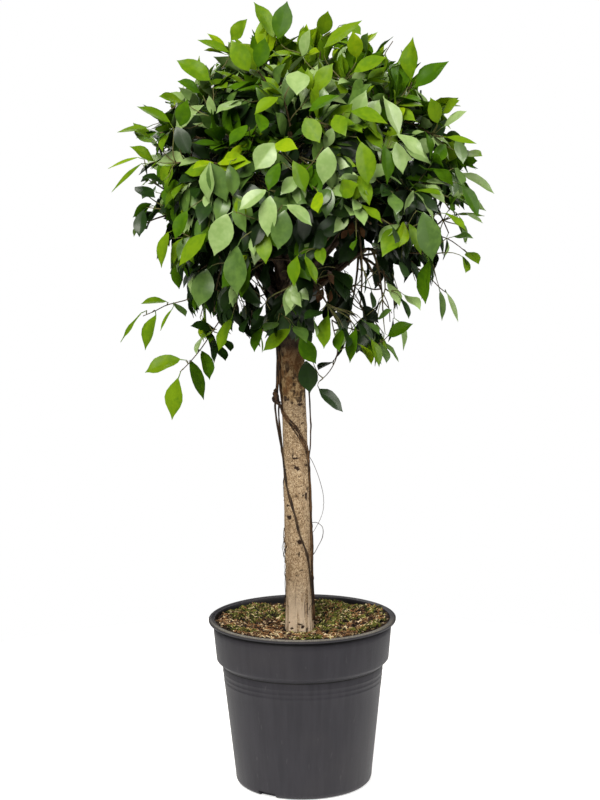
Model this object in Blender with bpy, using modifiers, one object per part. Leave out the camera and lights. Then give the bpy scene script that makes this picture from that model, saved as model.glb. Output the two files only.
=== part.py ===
"""A small-leaved fig grown as a standard: one bare trunk with thin aerial roots, a round head of leaves,
and a round nursery pot filled with peat.

Metres, +Z up. The origin is the centre of the pot's flat underside, and -Y is the plant's front.
"""

import math
import random

import bmesh
import bpy
from mathutils import Matrix, Vector
from mathutils.bvhtree import BVHTree

# Room kept between neighbours, so that no two pieces touch
CLEAR = 0.0003

# Pot: outer radii and heights, and the rim's rolled section as shares of its width and its depth
POT_HEIGHT = 0.302
RIM_RADIUS = 0.170
RIM_DEPTH = 0.0065
RIM_SECTION = ((0.0, 0.09), (0.33, 0.0), (0.81, 0.13), (1.0, 0.42), (0.94, 1.0), (0.08, 1.18))
COLLAR_TOP_RADIUS = 0.1620
COLLAR_FOOT_RADIUS = 0.1566
COLLAR_FOOT_HEIGHT = 0.2298
STEP_RADIUS = 0.1475
STEP_HEIGHT = 0.2217
BODY_TOP_RADIUS = 0.1452
BODY_TOP_HEIGHT = 0.2085
BASE_RADIUS = 0.1245
BASE_ROUNDING = 0.011
BASE_ROUNDING_STEPS = 3
POT_WALL = 0.0028
POT_FLOOR = 0.005
POT_STEPS = 32
DRAIN_NOTCHES = 3
DRAIN_NOTCH_WIDTH = 0.036
DRAIN_NOTCH_DEPTH = 0.015
DRAIN_NOTCH_HEIGHT = 0.010
DRAIN_NOTCH_TURN = math.radians(-123)

# Soil: its top, level near the trunk and rising to the wall, and the chamfer at its foot
SOIL_HEIGHT = 0.2815
SOIL_RISE = 0.011
SOIL_LEVEL_RADIUS = 0.050
SOIL_SLOPE_RADIUS = 0.100
SOIL_CHAMFER_WIDTH = 0.014
SOIL_CHAMFER_HEIGHT = 0.023

# Trunk: radius and sideways lean at some heights above the pot's underside
TRUNK_TOP = 0.975
TRUNK_SIDES = 16
TRUNK_RADII = (
    (0.2815, 0.0262),
    (0.292, 0.0255),
    (0.315, 0.0247),
    (0.40, 0.0237),
    (0.52, 0.0229),
    (0.64, 0.0220),
    (0.74, 0.0229),
    (0.84, 0.0236),
    (0.90, 0.0245),
    (0.945, 0.0230),
    (0.975, 0.0170),
)
TRUNK_FOOT_X = -0.0055
TRUNK_TOP_X = -0.024
TRUNK_BOW = 0.003

# Aerial roots: radius, how far they stand off between their ends, where they lie on the bark, and their
# route as (height, angle round the trunk from its front to its right)
ROOT_ROOM = 0.0004
ROOT_END_LENGTH = 0.030
ROOT_POINT_TURN = math.radians(14)
ROOT_POINT_STEP = 0.035
ROOT_END_SHARE = 0.75
WRAPPING_ROOT = dict(
    radius=0.0034,
    stand_off=0.0002,
    route=((0.800, -84), (0.740, -92), (0.700, -86), (0.676, -48), (0.645, 0), (0.620, 42), (0.600, 70),
           (0.560, 84), (0.440, 82), (0.300, 80)),
)
CROSSING_ROOT = dict(
    radius=0.0015,
    stand_off=0.0,
    route=((0.668, -86), (0.610, -74), (0.558, -48), (0.495, -10), (0.440, 28), (0.412, 46), (0.385, 56),
           (0.330, 60)),
)
STRAIGHT_ROOT = dict(
    radius=0.0012,
    stand_off=0.0035,
    route=((0.735, 93), (0.690, 96), (0.640, 100), (0.600, 106)),
)
ROOT_KNOT_HEIGHT = 0.688
ROOT_KNOT_DEPTH = 0.014
ROOT_KNOT_RADIUS = 0.0062

# Crown: its centre, its reach from there, and how much less it reaches low down
CROWN_CENTRE = Vector((0.004, 0.0, 1.052))
CROWN_REACH = 0.335
CROWN_LOW_REACH = 0.285
CROWN_LOW_START = 1.3
CROWN_DEPTH_SHARE = 0.95
CROWN_LUMP = 0.0225
CROWN_LUMP_TURNS = (3.0, 5.0)
CROWN_LUMP_RISES = (4.0, 5.0)
CROWN_LUMP_SHIFT = 0.6

# Masses of foliage, tier by tier: their number, height angle and turn in degrees, with every other one
# raised and lowered by the stagger, and for the bough that carries each the height where it leaves the
# trunk, its sag, its radii and its reach as a share of the crown's
TIERS = (
    dict(name="top", count=1, angle=88, stagger=0, turn=0,
         leave=0.960, sag=0.0, thick=0.0105, thin=0.0050, end=0.42),
    dict(name="upper", count=5, angle=40, stagger=9, turn=-94,
         leave=0.930, sag=0.05, thick=0.0090, thin=0.0040, end=0.44),
    dict(name="middle", count=6, angle=4, stagger=11, turn=-58,
         leave=0.900, sag=0.02, thick=0.0082, thin=0.0036, end=0.47),
    dict(name="lower", count=6, angle=-36, stagger=5, turn=-92,
         leave=0.864, sag=0.0, thick=0.0070, thin=0.0032, end=0.50),
)
BOUGH_POINTS = 4
BARE_CAP = math.radians(-74)

# Shoots that stand out of the ball, as the places of their tips from the crown's centre, with their leaves
STRAY_SHOOTS = (
    dict(tip=(-0.050, -0.050, 0.272), leaves=5),
    dict(tip=(0.030, -0.040, 0.272), leaves=5),
    dict(tip=(0.205, -0.030, 0.205), leaves=5),
    dict(tip=(-0.262, -0.020, 0.060), leaves=5),
    dict(tip=(0.282, -0.010, -0.020), leaves=5),
    dict(tip=(0.230, -0.040, -0.150), leaves=5),
    dict(tip=(-0.208, -0.045, -0.310), leaves=7),
    dict(tip=(-0.255, -0.020, -0.190), leaves=6),
    dict(tip=(0.062, -0.072, -0.300), leaves=5),
    dict(tip=(0.128, -0.045, -0.235), leaves=6),
)

# Stem of a mass: it runs on from the bough, and bears twigs between two shares of its length, the ones
# that go further to the side leaving it earlier
STEM_STEPS = 2
STEM_FOOT = 0.010
STEM_END = 0.70
STEM_BEND = 0.4
STEM_BARE = 0.40
STEM_LAST = 0.92
STEM_AHEAD = 0.85
STEM_ASIDE = 1.6

# Twigs
TWIGS = 92
TWIG_REACH = 0.83
TWIG_RADIUS = 0.0026
TWIG_TIP_RADIUS = 0.0013
TWIG_ARCHES = (0.14, 0.0, -0.14)
TWIG_STEPS = 2
LIMB_ROOM = 0.0012
SPACE_ROOM = 0.0012

# Leaves: their size, where they sit on a twig, and how much they follow it, leave it and hang
LEAVES_PER_TWIG = 5
LEAF_LENGTH = 0.092
LEAF_WIDTH = 0.048
LEAF_THICKNESS = 0.0016
LEAF_SIZES = (0.86, 1.10)
LEAF_WIDEST = 0.50
LEAF_RIDGE = 0.13
LEAF_DROOP = 0.10
LEAF_SINK = 0.0030
LEAF_PLACES = (0.30, 0.97)
LEAF_ALONG = 0.50
LEAF_ASIDE = 0.90
LEAF_OUTWARD = 0.20
LEAF_HANGS = (0.85, -0.25)
LEAF_HANG_SLOPE = 0.90
LEAF_HANG_LEVEL = 0.45
LEAF_SPREAD = 0.20
FACE_UP = 0.6
FACE_OUTWARD = 1.1
FACE_SPREAD = 0.28

# Tries to place a leaf, each turned further and spread wider than the last
LEAF_TRIES = 18
TRY_TURN = 0.7
TRY_SPREAD = 0.35

GOLDEN_ANGLE = math.pi * (3 - math.sqrt(5))
SMOOTH_BELOW = math.radians(40)
SMOOTH_LIMBS_BELOW = math.radians(60)
SEED = 20

MATERIALS = {
    "pot_plastic": ((0.055, 0.052, 0.058), 0.50),
    "peat": ((0.085, 0.055, 0.028), 0.95),
    "bark": ((0.37, 0.26, 0.15), 0.80),
    "root_bark": ((0.12, 0.070, 0.035), 0.85),
    "bough_bark": ((0.16, 0.105, 0.055), 0.85),
    "leaf": ((0.085, 0.170, 0.030), 0.40),
}


def clear_scene():
    for item in list(bpy.data.objects):
        bpy.data.objects.remove(item, do_unlink=True)


def new_collection(name):
    collection = bpy.data.collections.new(name)
    bpy.context.scene.collection.children.link(collection)
    return collection


def make_materials():
    made = {}
    for name, (colour, roughness) in MATERIALS.items():
        material = bpy.data.materials.new(name)
        material.use_nodes = True
        shader = material.node_tree.nodes["Principled BSDF"]
        shader.inputs["Base Color"].default_value = (*colour, 1.0)
        shader.inputs["Roughness"].default_value = roughness
        shader.inputs["Metallic"].default_value = 0.0
        made[name] = material
    return made


def add_object(name, data, collection, material=None):
    item = bpy.data.objects.new(name, data)
    collection.objects.link(item)
    if material is not None:
        data.materials.clear()
        data.materials.append(material)
    return item


def mesh_of(item):
    """The mesh of an object as its modifiers, bevel and matrix leave it, with a curve's loose caps welded."""
    graph = bpy.context.evaluated_depsgraph_get()
    mesh = bpy.data.meshes.new_from_object(item.evaluated_get(graph))
    mesh.transform(item.matrix_world)
    soft = bmesh.new()
    soft.from_mesh(mesh)
    bmesh.ops.remove_doubles(soft, verts=soft.verts, dist=1e-6)
    bmesh.ops.recalc_face_normals(soft, faces=soft.faces)
    soft.to_mesh(mesh)
    soft.free()
    return mesh


def smooth(mesh, angle=SMOOTH_BELOW):
    mesh.shade_smooth()
    mesh.set_sharp_from_angle(angle=angle)


def section(name, sides, collection):
    """A regular polygon of unit radius, which gives a tube its number of sides."""
    curve = bpy.data.curves.new(name, "CURVE")
    curve.dimensions = "2D"
    spline = curve.splines.new("POLY")
    spline.points.add(sides - 1)
    for i, point in enumerate(spline.points):
        turn = math.tau * i / sides
        point.co = (math.cos(turn), math.sin(turn), 0.0, 1.0)
    spline.use_cyclic_u = True
    item = add_object(name, curve, collection)
    item.hide_render = True
    item.display_type = "WIRE"
    return item


def tube(name, points, radii, around, collection, material=None):
    """A capped tube along the points, with a radius at each."""
    curve = bpy.data.curves.new(name, "CURVE")
    curve.dimensions = "3D"
    curve.bevel_mode = "OBJECT"
    curve.bevel_object = around
    curve.use_fill_caps = True
    spline = curve.splines.new("POLY")
    spline.points.add(len(points) - 1)
    for point, place, radius in zip(spline.points, points, radii):
        point.co = (*place, 1.0)
        point.radius = radius
    guide = add_object(name + "_line", curve, collection)
    bpy.context.view_layer.update()
    mesh = mesh_of(guide)
    bpy.data.objects.remove(guide, do_unlink=True)
    mesh.name = name
    return add_object(name, mesh, collection, material)


def bezier(start, bend, end, share):
    """A point of the quadratic curve from start to end that bends towards bend."""
    rest = 1.0 - share
    return start * rest * rest + bend * 2.0 * rest * share + end * share * share


def mix(low, high, share):
    return low + (high - low) * share


def on_line(points, share):
    """The place at a share of a line's points, and the way the line runs there."""
    whole = share * (len(points) - 1)
    step = min(int(whole), len(points) - 2)
    way = (points[step + 1] - points[step]).normalized()
    return points[step].lerp(points[step + 1], whole - step), way


def along(stops, value):
    """The second number of the stops, read at a value of the first, eased between them."""
    ordered = sorted(stops)
    if value <= ordered[0][0]:
        return ordered[0][1]
    for (low, first), (high, second) in zip(ordered, ordered[1:]):
        if value <= high:
            share = (value - low) / (high - low)
            return mix(first, second, share * share * (3.0 - 2.0 * share))
    return ordered[-1][1]


def boolean(item, other, operation):
    """Cuts or joins the item with another object, and leaves the result in its mesh."""
    modifier = item.modifiers.new(operation.lower(), "BOOLEAN")
    modifier.operation = operation
    modifier.object = other
    modifier.solver = "EXACT"
    bpy.context.view_layer.update()
    mesh = mesh_of(item)
    item.modifiers.clear()
    item.data = mesh


def lathe(name, profile, steps, parts, material):
    """A profile of (radius, height) turned into a closed body, its ends on the axis."""
    mesh = bpy.data.meshes.new(name)
    corners = [(radius, 0.0, height) for radius, height in profile]
    mesh.from_pydata(corners, [(i, i + 1) for i in range(len(corners) - 1)], [])
    item = add_object(name, mesh, parts, material)
    screw = item.modifiers.new("turn", "SCREW")
    screw.steps = steps
    screw.render_steps = steps
    screw.use_merge_vertices = True
    screw.merge_threshold = 1e-5
    bpy.context.view_layer.update()
    mesh = mesh_of(item)
    item.modifiers.clear()
    item.data = mesh
    return item


def pot(parts, cutters, materials):
    """The turned pot, thin all over, with notches round its foot that go through and let water out."""
    inner_base = BASE_RADIUS - POT_WALL
    profile = [
        (0.0, POT_FLOOR),
        (inner_base - BASE_ROUNDING, POT_FLOOR),
        (inner_base, POT_FLOOR + BASE_ROUNDING),
        (BODY_TOP_RADIUS - POT_WALL, BODY_TOP_HEIGHT),
        (STEP_RADIUS - POT_WALL, STEP_HEIGHT),
        (COLLAR_FOOT_RADIUS - POT_WALL, COLLAR_FOOT_HEIGHT),
        (COLLAR_TOP_RADIUS - POT_WALL, POT_HEIGHT - RIM_DEPTH),
    ]
    for across, down in RIM_SECTION:
        profile.append((mix(COLLAR_TOP_RADIUS, RIM_RADIUS, across), POT_HEIGHT - RIM_DEPTH * down))
    profile += [
        (COLLAR_FOOT_RADIUS, COLLAR_FOOT_HEIGHT),
        (STEP_RADIUS, STEP_HEIGHT),
        (BODY_TOP_RADIUS, BODY_TOP_HEIGHT),
    ]
    for i in range(BASE_ROUNDING_STEPS + 1):
        turn = math.pi / 2 * i / BASE_ROUNDING_STEPS
        centre = BASE_RADIUS - BASE_ROUNDING
        profile.append((centre + BASE_ROUNDING * math.cos(turn), BASE_ROUNDING * (1.0 - math.sin(turn))))
    profile.append((0.0, 0.0))
    item = lathe("pot", profile, POT_STEPS, parts, materials["pot_plastic"])
    for i in range(DRAIN_NOTCHES):
        turn = DRAIN_NOTCH_TURN + math.tau * i / DRAIN_NOTCHES
        bpy.ops.mesh.primitive_cube_add(size=1.0)
        notch = bpy.context.active_object
        notch.name = f"drain_notch_{i + 1}"
        for holder in list(notch.users_collection):
            holder.objects.unlink(notch)
        cutters.objects.link(notch)
        place = Vector((math.cos(turn), math.sin(turn), 0.0)) * BASE_RADIUS
        size = Matrix.Diagonal((DRAIN_NOTCH_WIDTH, DRAIN_NOTCH_DEPTH * 2, DRAIN_NOTCH_HEIGHT * 2, 1.0))
        notch.matrix_world = Matrix.Translation(place) @ Matrix.Rotation(turn + math.pi / 2, 4, "Z") @ size
        notch.hide_render = True
        notch.display_type = "WIRE"
        boolean(item, notch, "DIFFERENCE")
    smooth(item.data)


def soil(parts, materials):
    """The peat that fills the pot, a plug kept clear of the wall, the floor and the trunk's flat foot."""
    gap = POT_WALL + CLEAR * 2
    base = BASE_RADIUS - gap
    floor = POT_FLOOR + CLEAR * 2
    rim_share = (SOIL_HEIGHT + SOIL_RISE - COLLAR_FOOT_HEIGHT) / (POT_HEIGHT - RIM_DEPTH - COLLAR_FOOT_HEIGHT)
    profile = [
        (0.0, SOIL_HEIGHT),
        (SOIL_LEVEL_RADIUS, SOIL_HEIGHT),
        (SOIL_SLOPE_RADIUS, SOIL_HEIGHT + SOIL_RISE * 0.5),
        (mix(COLLAR_FOOT_RADIUS, COLLAR_TOP_RADIUS, rim_share) - gap, SOIL_HEIGHT + SOIL_RISE),
        (COLLAR_FOOT_RADIUS - gap, COLLAR_FOOT_HEIGHT + CLEAR),
        (STEP_RADIUS - gap, STEP_HEIGHT + CLEAR),
        (BODY_TOP_RADIUS - gap, BODY_TOP_HEIGHT),
        (base, floor + SOIL_CHAMFER_HEIGHT),
        (base - SOIL_CHAMFER_WIDTH, floor),
        (0.0, floor),
    ]
    item = lathe("potting_soil", profile, POT_STEPS // 2, parts, materials["peat"])
    smooth(item.data)


def trunk_centre(height):
    """The trunk's axis: it leans to the left, with a slight bow."""
    share = (height - SOIL_HEIGHT) / (TRUNK_TOP - SOIL_HEIGHT)
    lean = mix(TRUNK_FOOT_X, TRUNK_TOP_X, share * share)
    return Vector((lean, TRUNK_BOW * math.sin(math.pi * share), height))


def trunk_radius(height):
    return along(TRUNK_RADII, height)


def trunk_line(extra=0.0):
    heights = [height for height, _ in TRUNK_RADII]
    heights[0] = SOIL_HEIGHT + CLEAR
    points = [trunk_centre(height) for height in heights]
    points[1].x, points[1].y = points[0].x, points[0].y
    return points, [trunk_radius(height) + extra for height in heights]


def trunk(parts, around, materials):
    points, radii = trunk_line()
    item = tube("trunk", points, radii, around, parts, materials["bark"])
    smooth(item.data, SMOOTH_LIMBS_BELOW)


def root_line(root):
    """A root's route on the bark, with a point wherever it has gone a few degrees round."""
    heights = []
    for (high, first), (low, second) in zip(root["route"], root["route"][1:]):
        turn = abs(math.radians(second - first))
        steps = max(1, math.ceil(turn / ROOT_POINT_TURN), round((high - low) / ROOT_POINT_STEP))
        heights += [mix(high, low, i / steps) for i in range(steps)]
    heights.append(root["route"][-1][0])
    line = []
    for height in heights:
        angle = math.radians(along(root["route"], height))
        from_end = min(heights[0] - height, height - heights[-1])
        lift = root["stand_off"] * min(1.0, from_end / ROOT_END_LENGTH)
        reach = trunk_radius(height) + root["radius"] + ROOT_ROOM + lift
        out = Vector((math.sin(angle), -math.cos(angle), 0.0)) * reach
        line.append(trunk_centre(height) + out)
    return line


def tie_knot(line, radii):
    """Thickens a root about the height of its knot, and moves it out from the bark by as much."""
    for i, (point, radius) in enumerate(zip(line, radii)):
        apart = min(1.0, abs(point.z - ROOT_KNOT_HEIGHT) / ROOT_KNOT_DEPTH)
        radii[i] = mix(ROOT_KNOT_RADIUS, radius, apart)
        out = (point - trunk_centre(point.z)).normalized()
        line[i] = point + out * (radii[i] - radius)


def aerial_roots(parts, around, materials):
    """Thin roots on the outside of the trunk; the thickest starts in the head and winds across the front."""
    made = []
    for name, root in (("aerial_root_wrapping", WRAPPING_ROOT), ("aerial_root_crossing", CROSSING_ROOT),
                       ("aerial_root_straight", STRAIGHT_ROOT)):
        line = root_line(root)
        radii = [mix(1.0, ROOT_END_SHARE, i / (len(line) - 1)) * root["radius"] for i in range(len(line))]
        if root is WRAPPING_ROOT:
            tie_knot(line, radii)
        item = tube(name, line, radii, around, parts, materials["root_bark"])
        smooth(item.data, SMOOTH_LIMBS_BELOW)
        made.append((name, line, radii))
    return made


def aim(height_angle, turn):
    """A unit vector at these angles in degrees, with turn 0 to the right and -90 to the front."""
    high, flat = math.radians(height_angle), math.radians(turn)
    return Vector((math.cos(high) * math.cos(flat), math.cos(high) * math.sin(flat), math.sin(high)))


def crown_reach(way):
    """How far the crown goes from its centre in a direction: a ball, drawn in below, with soft lumps."""
    low = min(1.0, max(0.0, -way.z * CROWN_LOW_START))
    reach = mix(CROWN_REACH, CROWN_LOW_REACH, low * low * (3.0 - 2.0 * low))
    turn = math.atan2(way.y, way.x)
    lump = math.sin(CROWN_LUMP_TURNS[0] * turn + CROWN_LUMP_SHIFT) * math.cos(CROWN_LUMP_RISES[0] * way.z)
    lump += math.sin(CROWN_LUMP_TURNS[1] * turn + CROWN_LUMP_RISES[1] * way.z)
    deep = mix(1.0, CROWN_DEPTH_SHARE, way.y * way.y)
    return reach * deep * (1.0 + CROWN_LUMP * lump)


def make_masses():
    masses = []
    for tier in TIERS:
        for i in range(tier["count"]):
            label = tier["name"] if tier["count"] == 1 else f"{tier['name']}_{i + 1}"
            turn = tier["turn"] + 360.0 * i / tier["count"]
            angle = tier["angle"] + tier["stagger"] * (1 if i % 2 else -1)
            masses.append(dict(label=label, tier=tier, way=aim(angle, turn), targets=[]))
    return masses


def bough_line(mass):
    """A bough from inside the trunk's head to the place where its mass begins, bending up on its way."""
    tier = mass["tier"]
    start = trunk_centre(tier["leave"])
    end = CROWN_CENTRE + mass["way"] * crown_reach(mass["way"]) * tier["end"]
    bend = start.lerp(end, 0.5) + Vector((0.0, 0.0, -tier["sag"]))
    points = [bezier(start, bend, end, i / (BOUGH_POINTS - 1)) for i in range(BOUGH_POINTS)]
    radii = [mix(tier["thick"], tier["thin"], i / (BOUGH_POINTS - 1)) for i in range(BOUGH_POINTS)]
    return points, radii


def boughs(parts, cutters, around, wide, materials, masses):
    """One tapering limb to each mass, cut off clear of the trunk."""
    room = CLEAR * 1.5
    points, radii = trunk_line(room)
    points[-1].z += room
    cutter = tube("trunk_room", points, radii, wide, cutters)
    cutter.hide_render = True
    cutter.display_type = "WIRE"
    limbs = []
    for mass in masses:
        points, radii = bough_line(mass)
        item = tube("bough_" + mass["label"], points, radii, around, parts, materials["bough_bark"])
        boolean(item, cutter, "DIFFERENCE")
        smooth(item.data, SMOOTH_LIMBS_BELOW)
        mass["bough_end"] = points[-1]
        mass["bough_way"] = (points[-1] - points[-2]).normalized()
        mass["bough_radius"] = radii[-1]
        limbs.append((item.name, points, radii))
    return limbs


def even_ways(count):
    """Directions spread evenly over a ball by the golden angle."""
    for i in range(count):
        height = 1.0 - (2.0 * i + 1.0) / count
        flat = math.sqrt(1.0 - height * height)
        turn = GOLDEN_ANGLE * i
        yield Vector((flat * math.cos(turn), flat * math.sin(turn), height))


def share_targets(masses):
    """Gives each mass the twig tips that lie nearest to its own direction."""
    wanted = []
    for way in even_ways(TWIGS):
        if math.asin(way.z) > BARE_CAP:
            wanted.append((way, CROWN_CENTRE + way * crown_reach(way) * TWIG_REACH, LEAVES_PER_TWIG))
    for shoot in STRAY_SHOOTS:
        offset = Vector(shoot["tip"])
        wanted.append((offset.normalized(), CROWN_CENTRE + offset, shoot["leaves"]))
    for way, tip, leaves in wanted:
        mass = max(masses, key=lambda one: one["way"].dot(way))
        mass["targets"].append((tip, leaves))


def in_space(place, mass, masses):
    """True for a place inside the wedge of directions that are nearest to this mass's own."""
    offset = place - CROWN_CENTRE
    for other in masses:
        if other is not mass:
            across = mass["way"] - other["way"]
            if offset.dot(across) / across.length < SPACE_ROOM:
                return False
    return True


def leaf_blank():
    """The closed eight-sided leaf, one unit long and wide: pointed, widest half way, ridged near its base."""
    mesh = bpy.data.meshes.new("leaf_blank")
    shape = bmesh.new()
    bmesh.ops.create_uvsphere(shape, u_segments=4, v_segments=2, radius=1.0)
    thick = LEAF_THICKNESS / LEAF_LENGTH
    for corner in shape.verts:
        x, y, z = corner.co
        if abs(z) > 0.5:
            corner.co = (0.0, LEAF_DROOP * -0.5 if z > 0 else 0.0, 1.0 if z > 0 else 0.0)
        elif abs(x) > 0.5:
            corner.co = (x * 0.5, 0.0, LEAF_WIDEST)
        else:
            corner.co = (0.0, y * 0.5 * thick + LEAF_DROOP * 0.25, LEAF_RIDGE)
    shape.to_mesh(mesh)
    shape.free()
    return mesh


def leaf_matrix(root, way, face, length, width):
    """Places the blank with its base at root, its tip along way and its upper side towards face."""
    side = face.cross(way).normalized()
    up = way.cross(side).normalized()
    turn = Matrix((side, up, way)).transposed().to_4x4()
    return Matrix.Translation(root) @ turn @ Matrix.Diagonal((width, length, length, 1.0))


def leaf_way(shoot, around_way, place, dice, spread):
    """Where a leaf points: out along its shoot and to one side, hanging more the lower it grows."""
    out = (place - CROWN_CENTRE).normalized()
    hang = mix(*LEAF_HANGS, min(1.0, max(0.0, out.z * LEAF_HANG_SLOPE + LEAF_HANG_LEVEL)))
    way = shoot * LEAF_ALONG + around_way * LEAF_ASIDE + out * LEAF_OUTWARD + Vector((0.0, 0.0, -hang))
    way += Vector([dice.gauss(0.0, spread) for _ in range(3)])
    return way.normalized()


def leaf_face(way, place, dice):
    """Where a leaf's upper side looks: up and outwards, never along the leaf itself."""
    out = (place - CROWN_CENTRE).normalized()
    face = Vector((0.0, 0.0, FACE_UP)) + out * FACE_OUTWARD
    face += Vector([dice.gauss(0.0, FACE_SPREAD) for _ in range(3)])
    face -= way * face.dot(way)
    return face.normalized() if face.length > 1e-3 else way.orthogonal().normalized()


def skin_of(mesh, matrix):
    """The mesh at its place, as a tree that tells what crosses it."""
    corners = [matrix @ corner.co for corner in mesh.vertices]
    return BVHTree.FromPolygons(corners, [face.vertices for face in mesh.polygons])


def limb_skins(limbs, around, bench):
    """The limbs as trees, each a little fatter than it is, for growth to keep clear of."""
    skins = []
    for name, points, radii in limbs:
        item = tube(name + "_room", points, [radius + LIMB_ROOM for radius in radii], around, bench)
        skins.append(skin_of(item.data, Matrix()))
        bpy.data.objects.remove(item, do_unlink=True)
    return skins


def leaf_fits(corners, mass, masses):
    """True for a leaf that keeps to its mass's space: the space is a wedge, so its corners tell."""
    return all(in_space(corner, mass, masses) for corner in corners)


def grow_stem(mass, around, bench):
    """The stem of a mass, which runs on from its bough, as (object, points)."""
    start = mass["bough_end"] + mass["bough_way"] * CLEAR
    end = CROWN_CENTRE + mass["way"] * crown_reach(mass["way"]) * STEM_END
    foot = start + mass["bough_way"] * STEM_FOOT
    bend = foot + mass["bough_way"] * (end - foot).length * STEM_BEND
    line = [start] + [bezier(foot, bend, end, i / STEM_STEPS) for i in range(STEM_STEPS + 1)]
    radii = [mix(mass["bough_radius"], TWIG_RADIUS, i / (len(line) - 1)) for i in range(len(line))]
    return tube("stem_" + mass["label"], line, radii, around, bench), line


def grow_twig(tip, stem, mass, masses, limbs, tools):
    """A twig from the stem to this tip, arched up, straight or down, or None if each way is taken."""
    around, bench = tools
    axis = (stem[-1] - stem[0]).normalized()
    aside = 1.0 - max(0.0, (tip - stem[0]).normalized().dot(axis))
    origin, _ = on_line(stem, min(STEM_LAST, max(STEM_BARE, STEM_AHEAD - aside * STEM_ASIDE)))
    radii = [mix(TWIG_RADIUS, TWIG_TIP_RADIUS, i / TWIG_STEPS) for i in range(TWIG_STEPS + 1)]
    for rise in TWIG_ARCHES:
        middle = origin.lerp(tip, 0.5) + Vector((0.0, 0.0, rise * (tip - origin).length))
        line = [bezier(origin, middle, tip, i / TWIG_STEPS) for i in range(TWIG_STEPS + 1)]
        if not all(in_space(place, mass, masses) for place in line):
            continue
        twig = tube("twig", line, radii, around, bench)
        skin = skin_of(twig.data, Matrix())
        if not any(skin.overlap(limb) for limb in limbs):
            return twig, line
        bpy.data.objects.remove(twig, do_unlink=True)
    return None


def grow_leaf(line, share, turn, taken, mass, masses, dice, blank):
    """A leaf at a share of the twig that crosses nothing, as (skin, matrix), or None if every try fails."""
    place, shoot = on_line(line, share)
    at_tip = share == 1.0
    if at_tip:
        place -= shoot * LEAF_SINK
    across = shoot.orthogonal().normalized()
    for attempt in range(LEAF_TRIES):
        aside = across.copy()
        aside.rotate(Matrix.Rotation(turn + attempt * TRY_TURN, 3, shoot))
        spread = LEAF_SPREAD * (1.0 + attempt * TRY_SPREAD)
        way = leaf_way(shoot, aside * (0.0 if at_tip else 1.0), place, dice, spread)
        length = LEAF_LENGTH * dice.uniform(*LEAF_SIZES)
        width = length * LEAF_WIDTH / LEAF_LENGTH
        matrix = leaf_matrix(place, way, leaf_face(way, place, dice), length, width)
        if not leaf_fits([matrix @ corner.co for corner in blank.vertices], mass, masses):
            continue
        skin = skin_of(blank, matrix)
        if not any(skin.overlap(other) for other in taken):
            return skin, matrix
    return None


def grow_mass(mass, masses, limbs, tools, blank):
    """Twigs and leaves of one mass, as loose objects ready to be joined, with its stem first."""
    dice = random.Random(f"{SEED} {mass['label']}")
    bench = tools[1]
    stem, stem_line = grow_stem(mass, *tools)
    shoots = []
    for tip, wanted in mass["targets"]:
        grown = grow_twig(tip, stem_line, mass, masses, limbs, tools)
        if grown:
            shoots.append((*grown, wanted))
    wood = [skin_of(item.data, Matrix()) for item in [stem] + [twig for twig, _, _ in shoots]]
    leaf_skins = []
    leaves = []
    for number, (_, line, wanted) in enumerate(shoots):
        others = wood[:number + 1] + wood[number + 2:]
        for i in range(wanted):
            share = 1.0 if i == wanted - 1 else mix(*LEAF_PLACES, i / (wanted - 1))
            turn = GOLDEN_ANGLE * i + number
            grown = grow_leaf(line, share, turn, leaf_skins + others + limbs, mass, masses, dice, blank)
            if grown:
                leaf_skins.append(grown[0])
                leaf = add_object("leaf", blank, bench)
                leaf.matrix_world = grown[1]
                leaves.append(leaf)
    return [stem] + [twig for twig, _, _ in shoots] + leaves


def keep_whole(mesh):
    """Drops loose scraps and the walls of sealed hollows, so that the one outer skin is left."""
    shape = bmesh.new()
    shape.from_mesh(mesh)
    shape.verts.ensure_lookup_table()
    seen, skins = set(), []
    for corner in shape.verts:
        if corner in seen:
            continue
        skin, todo = [], [corner]
        seen.add(corner)
        while todo:
            one = todo.pop()
            skin.append(one)
            for edge in one.link_edges:
                other = edge.other_vert(one)
                if other not in seen:
                    seen.add(other)
                    todo.append(other)
        skins.append(skin)
    skins.sort(key=len)
    extra = [corner for skin in skins[:-1] for corner in skin]
    if extra:
        bmesh.ops.delete(shape, geom=extra, context="VERTS")
    shape.to_mesh(mesh)
    shape.free()


def join_pieces(name, pieces, bench, parts, material):
    """One union of the stem with all that grows on it."""
    stem, rest = pieces[0], pieces[1:]
    grown = bpy.data.collections.new(name + "_pieces")
    bpy.context.scene.collection.children.link(grown)
    for piece in rest:
        bench.objects.unlink(piece)
        grown.objects.link(piece)
    modifier = stem.modifiers.new("join", "BOOLEAN")
    modifier.operation = "UNION"
    modifier.operand_type = "COLLECTION"
    modifier.collection = grown
    modifier.solver = "MANIFOLD"
    bpy.context.view_layer.update()
    graph = bpy.context.evaluated_depsgraph_get()
    mesh = bpy.data.meshes.new_from_object(stem.evaluated_get(graph))
    mesh.name = name
    keep_whole(mesh)
    for piece in pieces:
        bpy.data.objects.remove(piece, do_unlink=True)
    bpy.data.collections.remove(grown)
    add_object(name, mesh, parts, material)


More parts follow.
